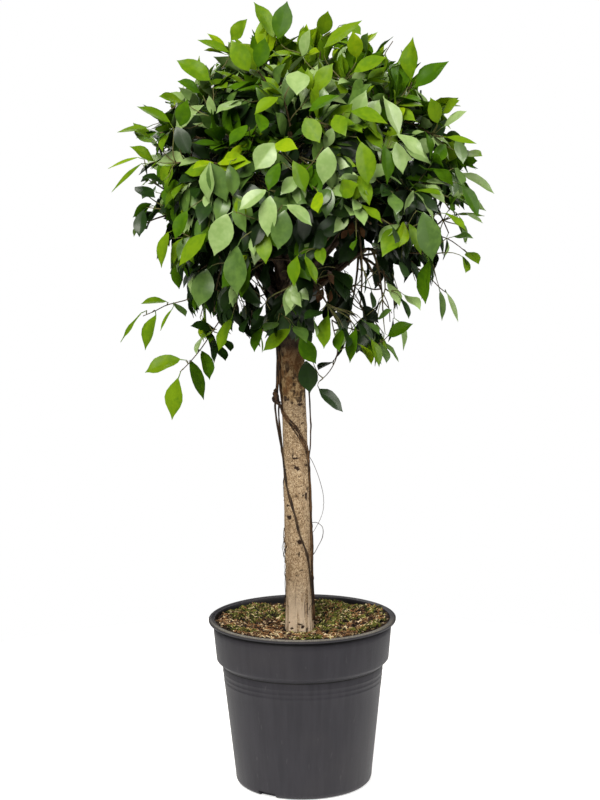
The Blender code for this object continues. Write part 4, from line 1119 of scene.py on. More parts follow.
def make_wood(masses, materials):
    """The trunk as a rolled sheet with the bark's relief, with the boughs grown out of it."""
    bpy.ops.mesh.primitive_grid_add(x_subdivisions=TRUNK_SIDES, y_subdivisions=TRUNK_RINGS, size=1.0)
    item = bpy.context.active_object
    mark = item.data.attributes.new("mark", "FLOAT", "POINT")
    for corner in item.data.vertices:
        degrees = (corner.co.x + 0.5) * 360.0
        height = mix(TRUNK_RADII[0][0], TRUNK_TOP, corner.co.y + 0.5)
        reach = trunk_radius(height) + bark_lift(height, degrees % 360.0)
        corner.co = trunk_centre(height) + front_way(degrees) * reach
        mark.data[corner.index].value = mark_share(height, degrees % 360.0)[0]
    edit_all()
    bpy.ops.mesh.remove_doubles(threshold=SEAM_DOUBLES)
    bpy.ops.mesh.select_all(action="DESELECT")
    bpy.ops.mesh.select_non_manifold(extend=False)
    bpy.ops.mesh.edge_face_add()
    leave_edit()
    limbs = tubes([smooth_line(*mass["bough"]) for mass in masses], 3)
    for corner in limbs.data.vertices:
        place = corner.co * LIMB_GRAIN
        corner.co += corner.normal * sum(noise.noise(place * finer) * tall for finer, tall in LIMB_KNOTS)
    for face in limbs.data.polygons:
        face.material_index = 1
    active(item)
    limbs.data.materials.clear()
    for _ in range(2):
        item.data.materials.append(None)
        limbs.data.materials.append(None)
    limbs.select_set(True)
    bpy.ops.object.join()
    kinds = [face.material_index for face in bpy.context.active_object.data.polygons]
    nodes = ["trunk"] + ["bough_" + mass["label"] for mass in masses]
    item = finished("trunk_and_boughs", nodes, materials)
    item.data.polygons.foreach_set("material_index", kinds)


LIMB_STEPS = 12
LIMB_BLEND = 0.7
LIMB_BLEND_WIDTH = 1.4
LIMB_COLLAR = 0.004


def smooth_line(points, radii):
    """The same limb with more points, on a smooth curve, and a collar where it leaves the trunk."""
    line = []
    thick = []
    for i in range(LIMB_STEPS + 1):
        share = i / LIMB_STEPS
        place, _ = on_line(points, share)
        whole = share * (len(points) - 1)
        near = [max(0.0, 1.0 - abs(whole - k) / LIMB_BLEND_WIDTH) ** 2 for k in range(len(points))]
        blend = sum((point * weight for point, weight in zip(points, near)), Vector()) / sum(near)
        line.append(place.lerp(blend, 0.0 if i in (0, LIMB_STEPS) else LIMB_BLEND))
        thick.append(mix(radii[0], radii[-1], share) + LIMB_COLLAR * (1.0 - share) ** 6)
    return line, thick


# Aerial roots: their places as (height, degrees from the front, distance from the bark), from the top down.
ROOT_KNOT_HEIGHT = 0.706
ROOTS = (
    dict(stops=((0.815, -78, 0.0), (0.785, -84, 0.0), (0.760, -88, 0.0010), (0.740, -90, 0.0030),
                (0.724, -90, 0.0052), (0.710, -90, 0.0058), (0.698, -87, 0.0036), (0.687, -71, 0.0), (0.669, -30, 0.0),
                (0.659, -6, 0.0), (0.638, 26, 0.0), (0.619, 55, 0.0), (0.603, 74, 0.0), (0.585, 82, 0.0),
                (0.560, 84, 0.0), (0.440, 84, 0.0), (0.300, 80, 0.0)),
         radius=0.0011, strands=6, width=0.0052, twist=20.0),
    dict(stops=((0.800, -64, 0.0), (0.775, -76, 0.0), (0.745, -82, 0.0), (0.715, -78, 0.0005), (0.700, -74, 0.0),
                (0.690, -70, 0.0)),
         radius=0.0014, strands=2, width=0.0016, twist=40.0),
    dict(stops=((0.560, 78, 0.0), (0.500, 84, 0.0010), (0.430, 80, 0.0), (0.360, 86, 0.0), (0.300, 80, 0.0)),
         radius=0.0012, strands=2, width=0.0020, twist=50.0),
)
FINE_ROOTS = (
    dict(stops=((0.706, -88, 0.0085), (0.690, -90, 0.0105), (0.660, -90, 0.0082), (0.640, -90, 0.0055),
                (0.612, -86, 0.0012), (0.590, -68, 0.0), (0.560, -52, 0.0), (0.530, -34, 0.0), (0.497, -12, 0.0),
                (0.465, 6, 0.0), (0.428, 36, 0.0), (0.400, 54, 0.0), (0.360, 66, 0.0), (0.320, 74, 0.0)),
         radius=0.0018, strands=2, width=0.0010, twist=60.0),
    dict(stops=((0.700, -84, 0.0025), (0.682, -88, 0.0045), (0.655, -90, 0.0040), (0.625, -88, 0.0012),
                (0.603, -80, 0.0)),
         radius=0.0015, strands=2, width=0.0018, twist=70.0),
    dict(stops=((0.740, 84, 0.0), (0.728, 92, 0.0050), (0.670, 94, 0.0060), (0.620, 94, 0.0045), (0.590, 90, 0.0)),
         radius=0.0015, strands=1, width=0.0, twist=0.0),
    dict(stops=((0.603, 84, 0.001), (0.585, 90, 0.010), (0.550, 94, 0.0205), (0.520, 95, 0.0250),
                (0.495, 93, 0.0220), (0.470, 89, 0.0100), (0.455, 84, 0.0)),
         radius=0.0005, strands=1, width=0.0, twist=0.0),
    dict(stops=((0.478, 84, 0.0), (0.478, 90, 0.011), (0.468, 92, 0.0215), (0.450, 90, 0.0205), (0.430, 86, 0.010),
                (0.412, 82, 0.0)),
         radius=0.0007, strands=1, width=0.0, twist=0.0),
    dict(stops=((0.480, 88, 0.0), (0.450, 94, 0.0030), (0.410, 92, 0.0025), (0.385, 86, 0.0)),
         radius=0.0011, strands=1, width=0.0, twist=0.0),
)


def curve_through(stops, count):
    """Even steps on a smooth curve through rows of numbers."""
    rows = [stops[0], *stops, stops[-1]]
    line = []
    for i in range(count + 1):
        whole = min(i / count * (len(stops) - 1), len(stops) - 1.0001)
        step = int(whole)
        t = whole - step
        line.append([0.5 * (2 * q + (r - p) * t + (2 * p - 5 * q + 4 * r - s) * t * t
                            + (3 * q - p - 3 * r + s) * t ** 3) for p, q, r, s in zip(*rows[step:step + 4])])
    return line


# How a strand runs: its least count of steps and how many more for each metre, and the radius that it winds on.
STRAND_LEAST_STEPS = 6
STRAND_STEPS_PER_METRE = 260
WINDING_RADIUS = 0.025
# Its unevenness, as (how much, how fine): in its turn, in its place and thickness, and in the skin of the knot.
UNEVEN_TURN = (1.5, 12.0)
UNEVEN_PLACE = (0.8, 45.0)
UNEVEN_THICKNESS = 0.3
KNOT_SKIN = (2.6, 210.0)
# The knot: how far apart and how tall the strands' knots are, and how they widen, lift and thicken them.
KNOT_APART, KNOT_TALL, KNOT_WIDENS, KNOT_LIFT, KNOT_THICKENS = 0.006, 0.009, 0.7, 0.0012, 3.4
# Above the knot the root eases, over this height, into a thicker and narrower braid that stands further out.
ABOVE_EASE, ABOVE_WIDTH, ABOVE_THICKENS = 0.02, 0.6, 0.7
STANDING_OUT = (0.25, 0.5)
STRAND_TIP = 0.8
STRAND_BEDDING = 0.7


def root_strands(root):
    """The strands of one root, which wind round its route and thicken into a knot where several part."""
    lines = []
    count = STRAND_LEAST_STEPS + int(STRAND_STEPS_PER_METRE * (root["stops"][0][0] - root["stops"][-1][0]))
    radius = root["radius"]
    for strand in range(root["strands"]):
        phase = math.tau * strand / root["strands"]
        points = []
        radii = []
        knot_height = ROOT_KNOT_HEIGHT + KNOT_APART * math.sin(phase * 1.7)
        for i, (height, degrees, off) in enumerate(curve_through(root["stops"], count)):
            turn = phase + root["twist"] * height + UNEVEN_TURN[0] * grain_at(height * UNEVEN_TURN[1], phase, 0.0)
            wander = grain_at(height * UNEVEN_PLACE[1], phase * 3.0, radius * 900.0)
            rough = grain_at(height * KNOT_SKIN[1], phase * 2.0, 0.5)
            knot = math.exp(-((height - knot_height) / KNOT_TALL) ** 2) if root["strands"] > 2 else 0.0
            above = eased((height - ROOT_KNOT_HEIGHT) / ABOVE_EASE)
            width = root["width"] * mix(1.0, ABOVE_WIDTH, above)
            swing = width * math.cos(turn) * (1.0 + KNOT_WIDENS * knot) + wander * radius * UNEVEN_PLACE[0]
            raised = width * mix(*STANDING_OUT, above) * (1.0 + math.sin(turn)) + knot * KNOT_LIFT
            swell = 1.0 + (KNOT_THICKENS + KNOT_SKIN[0] * rough) * knot + ABOVE_THICKENS * above
            thick = radius * mix(1.0, STRAND_TIP, i / count) * (swell + UNEVEN_THICKNESS * wander)
            degrees += math.degrees(swing / WINDING_RADIUS)
            reach = (trunk_radius(height) + bark_lift(height, degrees) + thick * STRAND_BEDDING + raised
                     + max(0.0, off))
            points.append(trunk_centre(height) + front_way(degrees) * reach)
            radii.append(thick)
        lines.append((points, radii))
    return lines


# Hair roots: how many, and the spans of their height, length, stand-off and radius; most lie by the roots.
ROOT_HAIRS = 44
HAIR_HEIGHTS = (0.30, 0.56)
HAIR_LENGTHS = (0.010, 0.045)
HAIR_OFF = (0.0005, 0.0042)
HAIR_RADII = (0.0003, 0.0007)
HAIR_TURNS = ((82, 8), (84, 7), (-84, 12))
HAIR_BACK = (100, 260)
HAIR_DRIFT = (6, 10)


def make_roots(materials):
    dice = random.Random(f"{SEED} roots")
    fine = [line for root in FINE_ROOTS for line in root_strands(root)]
    for _ in range(ROOT_HAIRS):
        height = dice.uniform(*HAIR_HEIGHTS)
        degrees = dice.choice([dice.gauss(*turn) for turn in HAIR_TURNS] + [dice.uniform(*HAIR_BACK)])
        tall = dice.uniform(*HAIR_LENGTHS)
        off = dice.uniform(*HAIR_OFF)
        stops = ((height + tall, degrees, 0.0), (height + tall * 0.5, degrees + dice.gauss(0, HAIR_DRIFT[0]), off),
                 (height, degrees + dice.gauss(0, HAIR_DRIFT[1]), 0.0))
        fine += root_strands(dict(stops=stops, radius=dice.uniform(*HAIR_RADII), strands=1, width=0.0, twist=0.0))
    nodes = ["aerial_root_wrapping", "aerial_root_crossing", "aerial_root_straight"]
    tubes([line for root in ROOTS for line in root_strands(root)], 1)
    finished("aerial_roots", nodes, [materials["roots"]])
    tubes(fine, 1)
    finished("aerial_roots_fine", nodes, [materials["fine_roots"]])


# The crown.

def aim(height_angle, turn):
    high, flat = math.radians(height_angle), math.radians(turn)
    return Vector((math.cos(high) * math.cos(flat), math.cos(high) * math.sin(flat), math.sin(high)))


def outwards(place):
    return (place - CROWN_CENTRE).normalized()


def crown_reach(way):
    """How far the crown goes in a direction, as in the solids."""
    low = eased(-way.z * CROWN_LOW_START)
    reach = mix(CROWN_REACH, CROWN_LOW_REACH, low)
    turn = math.atan2(way.y, way.x)
    lump = math.sin(3.0 * turn + 0.6) * math.cos(4.0 * way.z) + math.sin(5.0 * turn + 5.0 * way.z)
    return reach * mix(1.0, CROWN_DEPTH_SHARE, way.y * way.y) * (1.0 + CROWN_LUMP * lump)


def leaf_reach(way):
    """How far the leaves go: as the picture's outline sideways, and as the solids to the front and back."""
    turn = math.degrees(math.atan2(way.z, way.x)) % 360.0 / REACH_EVERY
    step = int(turn)
    around = len(PICTURE_REACH)
    outline = mix(PICTURE_REACH[step % around], PICTURE_REACH[(step + 1) % around], turn - step)
    return mix(crown_reach(way), outline, 1.0 - way.y * way.y)


def even_ways(count, turned_by=0.0):
    """Directions spread evenly over a ball by the golden angle."""
    for i in range(count):
        height = 1.0 - (2.0 * i + 1.0) / count
        flat = math.sqrt(1.0 - height * height)
        turn = GOLDEN_ANGLE * i + turned_by
        yield Vector((flat * math.cos(turn), flat * math.sin(turn), height))


def arc(start, bend, end, steps):
    """Points along the curve from a start to an end that is drawn towards a bend."""
    return [bezier(start, bend, end, i / steps) for i in range(steps + 1)]


def taper(first, last, steps):
    return [mix(first, last, i / steps) for i in range(steps + 1)]


BOUGH_STEPS = 3


def make_masses():
    """The boughs of all tiers by the rule of the solids, each with room for the mass that it carries."""
    masses = []
    for tier in TIERS:
        for i in range(tier["count"]):
            label = tier["name"] if tier["count"] == 1 else f"{tier['name']}_{i + 1}"
            angle = tier["angle"] + tier["stagger"] * (1 if i % 2 else -1)
            way = aim(angle, tier["turn"] + 360.0 * i / tier["count"])
            start = trunk_centre(tier["leave"])
            end = CROWN_CENTRE + way * crown_reach(way) * tier["end"]
            bend = start.lerp(end, 0.5) + Vector((0.0, 0.0, -tier["sag"]))
            bough = (arc(start, bend, end, BOUGH_STEPS), taper(tier["thick"], tier["thin"], BOUGH_STEPS))
            masses.append(dict(label=label, way=way, bough=bough, tips=[], lines=[], wood=[], sprig_wood=[]))
    return masses


def nearest_mass(masses, way):
    return max(masses, key=lambda mass: mass["way"].dot(way))


SHOOT_PLACES = (0.25, 0.4, 0.55, 0.7, 0.85, 0.97)


def remember_wood(mass, points):
    """Keeps the places along a limb where a finer shoot may leave it."""
    for share in SHOOT_PLACES:
        mass["wood"].append(on_line(points, share))


STEM_STEPS = 8
STEM_ROOTED = 0.004
TWIG_STEPS = 7
# A twig's bend: how far along it lies, how far up and how far along the stem, as shares of its span.
TWIG_BEND = (0.45, 0.14, 0.1)


def grow_stems_and_twigs(masses):
    """The stem of each mass and its twigs, by the rule of the solids."""
    for way in even_ways(TWIGS):
        if math.asin(way.z) > BARE_CAP:
            nearest_mass(masses, way)["tips"].append(CROWN_CENTRE + way * crown_reach(way) * TWIG_REACH)
    for mass in masses:
        points, radii = mass["bough"]
        bough_way = (points[-1] - points[-2]).normalized()
        start = points[-1] - bough_way * STEM_ROOTED
        end = CROWN_CENTRE + mass["way"] * crown_reach(mass["way"]) * STEM_END
        stem = arc(start, start + bough_way * (end - start).length * STEM_BEND, end, STEM_STEPS)
        mass["lines"].append((stem, taper(radii[-1], TWIG_RADIUS, STEM_STEPS)))
        remember_wood(mass, stem)
        axis = (stem[-1] - stem[0]).normalized()
        for tip in mass["tips"]:
            aside = 1.0 - max(0.0, (tip - stem[0]).normalized().dot(axis))
            share = min(STEM_LAST, max(STEM_BARE, STEM_AHEAD - aside * STEM_ASIDE))
            origin, along_stem = on_line(stem, share)
            span = (tip - origin).length
            at, up, ahead = TWIG_BEND
            bend = origin.lerp(tip, at) + Vector((0.0, 0.0, up * span)) + along_stem * span * ahead
            twig = arc(origin, bend, tip, TWIG_STEPS)
            mass["lines"].append((twig, taper(TWIG_RADIUS, TWIG_TIP_RADIUS, TWIG_STEPS)))
            remember_wood(mass, twig)


# How a shoot runs: on along its parent, outwards, down or up by its height in the crown, and how stiffly.
SHOOT_KEEPS_WAY = 0.5
SHOOT_OUTWARD = 0.4
SHOOT_RISE = (-0.75, 0.55)
SHOOT_RISE_SLOPE, SHOOT_RISE_LEVEL = 0.8, 0.55
SHOOT_STIFFNESS = 0.36


def shoot_line(origin, along_parent, tip, out, steps=SHOOT_STEPS):
    """A fine shoot that leaves its parent aslant and turns up, out or down according to its height."""
    span = (tip - origin).length
    straight = (tip - origin).normalized()
    rise = mix(*SHOOT_RISE, clamp(out.z * SHOOT_RISE_SLOPE + SHOOT_RISE_LEVEL))
    start_way = (along_parent * SHOOT_KEEPS_WAY + straight).normalized()
    end_way = (straight + out * SHOOT_OUTWARD + Vector((0.0, 0.0, rise))).normalized()
    first = origin + start_way * span * SHOOT_STIFFNESS
    second = tip - end_way * span * SHOOT_STIFFNESS
    points = []
    for i in range(steps + 1):
        t = i / steps
        rest = 1.0 - t
        points.append(origin * rest ** 3 + first * 3 * rest * rest * t + second * 3 * rest * t * t + tip * t ** 3)
    return points


# What counts against the origin of a shoot: not lying far enough in, turning off its way, too near.
ORIGIN_INWARD, INWARD_COST = 0.02, 6.0
TURN_COST = 0.03
SHORTEST_SHOOT, SHORT_COST = 0.025, 0.05


def choose_origin(mass, tip):
    """The place on the mass's own wood that a shoot to this tip grows from, further in than the tip."""
    far = (tip - CROWN_CENTRE).length
    best = None
    for place, way in mass["wood"]:
        span = tip - place
        inward = far - (place - CROWN_CENTRE).length
        cost = span.length + max(0.0, ORIGIN_INWARD - inward) * INWARD_COST
        cost += TURN_COST * (1.0 - way.dot(span.normalized()))
        if span.length < SHORTEST_SHOOT:
            cost += SHORT_COST
        if best is None or cost < best[0]:
            best = (cost, place, way)
    return best[1], best[2]


def scatter(dice, spread):
    """A random step of this spread in every direction."""
    return Vector([dice.gauss(0.0, spread) for _ in range(3)])


# How a leaf points and faces: shares of its shoot's way, of the way to its side, of outwards and of upwards.
LEAF_ALONG, LEAF_OUTWARD = 0.50, 0.20
FACE_UP, FACE_OUTWARD = 0.6, 1.1


def leaf_way(shoot, aside, place, dice):
    """Where a leaf points: out along its shoot and to one side, hanging more the lower it grows."""
    out = outwards(place)
    hang = mix(*LEAF_HANGS, clamp(out.z * LEAF_HANG_SLOPE + LEAF_HANG_LEVEL))
    way = shoot * LEAF_ALONG + aside * LEAF_ASIDE + out * LEAF_OUTWARD + Vector((0.0, 0.0, -hang))
    way += scatter(dice, LEAF_SPREAD)
    return way.normalized()


def leaf_face(way, place, dice):
    """Where a leaf's upper side looks: up and outwards, never along the leaf itself."""
    out = outwards(place)
    face = Vector((0.0, 0.0, FACE_UP)) + out * FACE_OUTWARD + scatter(dice, FACE_SPREAD)
    face -= way * face.dot(way)
    return face.normalized() if face.length > 1e-3 else way.orthogonal().normalized()


# How much lighter a leaf is painted on top of the crown, and on its outside from this share of its reach: painted
# light and shade.
PAINTED_LIGHT_ABOVE = 0.60
PAINTED_LIGHT_OUTSIDE, OUTSIDE_FROM = 5.0, 0.86


def tone_for(place, own, kind):
    """Which green a leaf has: palest where it is young and, as painted light, outside on top; darkest inside and
    below, as painted shade; pale ones a painted reflection.
    """
    away = place - CROWN_CENTRE
    share = away.length / leaf_reach(away.normalized())
    # Painted light: lighter on top and outside, darker inside and below.
    light = away.normalized().z * PAINTED_LIGHT_ABOVE + (share - OUTSIDE_FROM) * PAINTED_LIGHT_OUTSIDE + own
    if light < DEEP_SHADE_LEVEL:
        return DEEP_SHADE
    tone = sum(light <= least for least in TONE_LEVELS)
    if LEAF_TONES[tone] in ("bright", "middle") and kind < FULL_SHARE:
        return FULL
    # Some middle sprays are pale: a painted reflection.
    return PALE_REFLECTION if LEAF_TONES[tone] == "middle" and kind > PALE_REFLECTION_SHARE else tone


def picture_ray(x, y):
    """The way from the camera through a pixel of the photograph."""
    a, b = x - PICTURE[0] / 2, y - PICTURE[1] / 2
    u = a * math.cos(CAMERA_ROLL) - b * math.sin(CAMERA_ROLL)
    v = a * math.sin(CAMERA_ROLL) + b * math.cos(CAMERA_ROLL)
    return Vector((u, FOCAL_PIXELS * math.cos(CAMERA_PITCH) - v * math.sin(CAMERA_PITCH),
                   -FOCAL_PIXELS * math.sin(CAMERA_PITCH) - v * math.cos(CAMERA_PITCH))).normalized()


def seen_at(place):
    """Where the photograph shows a place: x and y in pixels, and how far from the camera it is."""
    x, y, z = Vector(place) - CAMERA_PLACE
    deep = y * math.cos(CAMERA_PITCH) - z * math.sin(CAMERA_PITCH)
    u = FOCAL_PIXELS * x / deep
    v = -FOCAL_PIXELS * (z * math.cos(CAMERA_PITCH) + y * math.sin(CAMERA_PITCH)) / deep
    return (PICTURE[0] / 2 + u * math.cos(CAMERA_ROLL) + v * math.sin(CAMERA_ROLL),
            PICTURE[1] / 2 - u * math.sin(CAMERA_ROLL) + v * math.cos(CAMERA_ROLL), deep)


def behind(x, y, depth):
    """The place a pixel shows in an upright plane at a depth."""
    ray = picture_ray(x, y)
    return CAMERA_PLACE + ray * ((depth - CAMERA_PLACE.y) / ray.y)


# The search for the crown's front along a line of sight: from how far before its middle, and by what steps.
FRONT_FROM, FRONT_STEP, FRONT_STEPS = 0.40, 0.004, 100


def crown_front(x, y, share):
    """Where the line of sight through a pixel first meets the leaves, or else passes nearest to them."""
    ray = picture_ray(x, y)
    nearest = (CROWN_CENTRE - CAMERA_PLACE).dot(ray)
    for step in range(FRONT_STEPS):
        place = CAMERA_PLACE + ray * (nearest - FRONT_FROM + FRONT_STEP * step)
        away = place - CROWN_CENTRE
        if away.length < leaf_reach(away.normalized()) * share:
            return place
    return CAMERA_PLACE + ray * nearest


FORWARD_COST = 0.2


def nearest_wood(masses, place):
    """The place on any limb of the crown that a shoot to here would grow from, rather behind it than before it."""
    wood = [entry for mass in masses for entry in mass["wood"] + mass["sprig_wood"]]
    return min(wood, key=lambda entry: (place - entry[0]).length + max(0.0, entry[0].y - place.y) * FORWARD_COST)


SPRIG_STEPS = 22
SPRIG_JOINT_STEPS = 4
SPRIG_TAPER = (1.2, 0.6)
SPRIG_UNEVEN = 0.002
# Where along a sprig leaves may join it: from which share of its length, by what steps, and at how many places.
SPRIG_PLACES = (0.3, 0.05, 14)


def grow_sprigs(masses, dice, sprigs):
    """The shoots that stand out of the ball, each joined to the nearest wood."""
    lines = []
    first, step, places = SPRIG_PLACES
    for sprig in sprigs:
        route = [behind(x, y, sprig["depth"] + dice.gauss(0.0, SPRIG_UNEVEN)) for x, y in sprig["route"]]
        origin, along_parent = nearest_wood(masses, route[0])
        outward = (route[1] - route[0]).normalized()
        joint = shoot_line(origin, along_parent, route[0], outward, SPRIG_JOINT_STEPS)
        stops = curve_through([tuple(place) for place in joint + route[1:]], SPRIG_STEPS)
        points = [Vector(stop) for stop in stops]
        lines.append((points, [SPRIG_RADIUS * share for share in taper(*SPRIG_TAPER, SPRIG_STEPS)]))
        mass = nearest_mass(masses, outwards(route[-1]))
        for i in range(places):
            mass["sprig_wood"].append(on_line(points, first + step * i))
    return lines


# How a leaf may be bent: the spans of its fold and curl, and the spread of its twist, wave and shape.
PLACED_BENDS = dict(fold=(0.15, 0.42), curl=(0.0, 0.16), twist=0.08, wave=0.016, shape=0.10)
GROWN_BENDS = dict(fold=(0.12, 0.46), curl=(0.02, 0.30), twist=0.18, wave=0.02, shape=0.12)
PLACED_STALK = (0.6, 0.4)
PLACED_STALK_ALONE = 0.006


def bent_by(dice, bends):
    return dict(fold=dice.uniform(*bends["fold"]), curl=dice.uniform(*bends["curl"]),
                twist=dice.gauss(0.0, bends["twist"]), wave=dice.gauss(0.0, bends["wave"]),
                shape=dice.gauss(0.0, bends["shape"]))


def shoot_radii():
    return taper(SHOOT_RADIUS, SHOOT_TIP_RADIUS, SHOOT_STEPS)


def place_leaves(masses, dice, shoots, leaves):
    """The leaves that the photograph shows one by one, each on its own shoot from the nearest wood."""
    kept_clear = []
    for base_x, base_y, tip_x, tip_y, wide, tone in PLACED_LEAVES:
        if abs(tip_x - PICTURE[0] / 2) > SIDE_LEAF_TIP:
            base = behind(base_x, base_y, CROWN_CENTRE.y)
        else:
            base = crown_front(base_x, base_y, DRIED_REACH if tone == DRIED else PLACED_REACH)
        tip = behind(tip_x, tip_y, base.y)
        flat = (tip - base).length
        if flat < PLACED_LEAST and tone != DRIED:
            tip += (CAMERA_PLACE - tip).normalized() * math.sqrt(PLACED_LEAST ** 2 - flat ** 2)
        way = (tip - base).normalized()
        length = (tip - base).length
        toward = (CAMERA_PLACE - base).normalized()
        open_face = (toward - way * toward.dot(way)).normalized()
        seen = wide * (seen_at(base)[2] / FOCAL_PIXELS)
        full = min(max(length * PLACED_WIDTH, seen), seen / math.cos(PLACED_TURN_LIMIT))
        turn = math.acos(min(1.0, seen / full))
        faces = [Matrix.Rotation(turn * sign, 3, way) @ open_face for sign in (-1, 1)]
        face = max(faces, key=lambda one: one.z)
        origin, along_parent = nearest_wood(masses, base)
        stalk = ((base - origin).normalized() * PLACED_STALK[0] + way * PLACED_STALK[1]).normalized()
        start = base - stalk * PETIOLE * length
        if (start - origin).length > PLACED_STALK_ALONE:
            shoots.append((shoot_line(origin, along_parent, start, outwards(start)), shoot_radii()))
        leaves.append(dict(base=start, stalk=stalk, way=way, face=face, length=length, width=full, tone=tone,
                           **bent_by(dice, PLACED_BENDS)))
        kept_clear.append(((base_x, base_y), (tip_x, tip_y), wide / 2 + ROOM_ROUND_PLACED, seen_at(base)[2]))
    return kept_clear


# A placed leaf is kept clear of all that stands nearer than its base and this much behind it.
BEHIND_PLACED = 0.01


def as_obstacles(kept_clear):
    """Gaps, bare wood and placed leaves as rows: from x, y to x, y, how wide, and nearer than what depth."""
    rows = [(x, y, x, y, radius, math.inf) for x, y, radius in CROWN_GAPS]
    rows += [(x, y, x, y, radius, BARE_DEPTH) for x, y, radius in BARE_GAPS]
    rows += [(*start, *end, clear, distance + BEHIND_PLACED) for start, end, clear, distance in kept_clear]
    return np.array(rows)


# Where a blade is tried, as (share of its length, share of its width), and how much of its half width counts.
BLADE_TRIALS = ((0.1, 0.4), (0.3, 0.85), (0.5, 1.0), (0.7, 0.85), (0.9, 0.3))
BLADE_COUNTS = 0.75
EDGE_ON = 0.2


def is_in_the_way(leaf, obstacles):
    """Whether a leaf would fill a gap, hide the bare trunk, or stand before one of the placed leaves."""
    blade = leaf["base"] + leaf["stalk"] * PETIOLE * leaf["length"]
    toward = (CAMERA_PLACE - blade).normalized()
    across = leaf["width"] * 0.5 * max(EDGE_ON, abs(leaf["face"].dot(toward)))
    start, step = obstacles[:, 0:2], obstacles[:, 2:4] - obstacles[:, 0:2]
    span = np.maximum((step * step).sum(axis=1), 1e-6)
    for share, wide in BLADE_TRIALS:
        x, y, deep = seen_at(blade + leaf["way"] * leaf["length"] * share)
        away = np.array((x, y)) - start
        along_step = np.clip((away * step).sum(axis=1) / span, 0.0, 1.0)
        away = away - along_step[:, None] * step
        room = obstacles[:, 4] + across * wide * BLADE_COUNTS * FOCAL_PIXELS / deep
        if (((away * away).sum(axis=1) < room * room) & (deep < obstacles[:, 5])).any():
            return True
    return False


# Leaves along a shoot: the last one before the tuft, their size at its tip, the tuft's size, tone and spread, how a
# stalk stands, and by how much a leaf in the way is turned on.
LAST_LEAF = 0.96
SHOOT_END = 0.999
TIP_SIZE = 0.88
TUFT_SIZE = 0.9
TUFT_LIGHTER = 0.25
TUFT_SPREAD = 0.35
STALK_ALONG, STALK_ASIDE, STALK_UP = 0.7, 0.7, 0.15
TURNED_ON = (1.0, 5.0)


def leafy(points, count, dice, leaves, first_share, size, obstacles):
    """Leaves in turn along a shoot, with a tuft at its tip; one in the way of the picture's gaps is turned."""
    start_turn = dice.uniform(0.0, math.tau)
    spray_tone = dice.gauss(0.0, SPRAY_TONE_SPREAD)
    kind = dice.random()
    tuft = 2 if count > 3 else 1
    for i in range(count + tuft):
        in_tuft = i >= count
        share = 1.0 if in_tuft else mix(first_share, LAST_LEAF, i / max(1, count - 1))
        place, shoot = on_line(points, min(share, SHOOT_END))
        aside = shoot.orthogonal().normalized()
        aside.rotate(Matrix.Rotation(start_turn + GOLDEN_ANGLE * i, 3, shoot))
        young = mix(1.0, TIP_SIZE, share ** 3) * (TUFT_SIZE if in_tuft else 1.0)
        length = dice.uniform(*LEAF_LENGTH) * young * size
        own_tone = spray_tone + dice.gauss(0.0, LEAF_TONE_SPREAD) + (TUFT_LIGHTER if in_tuft else 0.0)
        for _ in range(LEAF_TRIES):
            way = leaf_way(shoot, aside * (TUFT_SPREAD if in_tuft else 1.0), place, dice)
            stalk = (shoot * STALK_ALONG + aside * STALK_ASIDE + Vector((0.0, 0.0, STALK_UP))).normalized()
            leaf = dict(base=place, stalk=stalk, way=way, face=leaf_face(way, place, dice), length=length,
                        width=length * dice.uniform(*LEAF_SHAPE), **bent_by(dice, GROWN_BENDS),
                        tone=tone_for(place + way * length * 0.5, own_tone, kind))
            if not is_in_the_way(leaf, obstacles):
                leaves.append(leaf)
                break
            aside.rotate(Matrix.Rotation(dice.uniform(*TURNED_ON), 3, shoot))


# Where the first leaf sits along a shoot and how large the leaves are, on sprays, shoots and twigs.
SPRAY_FIRST, SPRAY_SIZE = 0.45, 0.85
LAYER_FIRST = 0.42
TWIG_LEAVES, TWIG_FIRST, TWIG_SIZE = 4, 0.5, 0.9
WAY_SPREAD = 0.05


def grow_shoots(masses):
    """Finer shoots in layers, each from the nearest wood of its own mass, and the leaves on all of them."""
    dice = random.Random(f"{SEED} shoots")
    shoots = []
    leaves = []
    sprigs = grow_sprigs(masses, dice, SPRIGS)
    obstacles = as_obstacles(place_leaves(masses, dice, shoots, leaves))
    sprays = grow_sprigs(masses, dice, HANGING_SPRAYS)
    for spray, (points, _) in zip(HANGING_SPRAYS, sprays):
        leafy(points, spray["leaves"], dice, leaves, SPRAY_FIRST, SPRAY_SIZE, obstacles)
    for layer in LAYERS:
        for way in even_ways(layer["count"], layer["turn"]):
            way = (way + scatter(dice, WAY_SPREAD)).normalized()
            reach = dice.uniform(*layer["out"])
            low = clamp((-way.z + way.x * THIN_RIGHT) / THIN_FULL)
            if dice.random() < low * THIN_MOST or math.asin(way.z) < BARE_CAP:
                continue
            tip = CROWN_CENTRE + way * (leaf_reach(way) - LEAF_OVERHANG) * reach
            mass = nearest_mass(masses, way)
            origin, along_parent = choose_origin(mass, tip)
            points = shoot_line(origin, along_parent, tip, way)
            shoots.append((points, shoot_radii()))
            leafy(points, dice.randint(*layer["leaves"]), dice, leaves, LAYER_FIRST, layer["size"], obstacles)
    for mass in masses:
        for points, _ in mass["lines"][1:]:
            leafy(points, TWIG_LEAVES, dice, leaves, TWIG_FIRST, TWIG_SIZE, obstacles)
    return shoots, sprigs + sprays, leaves


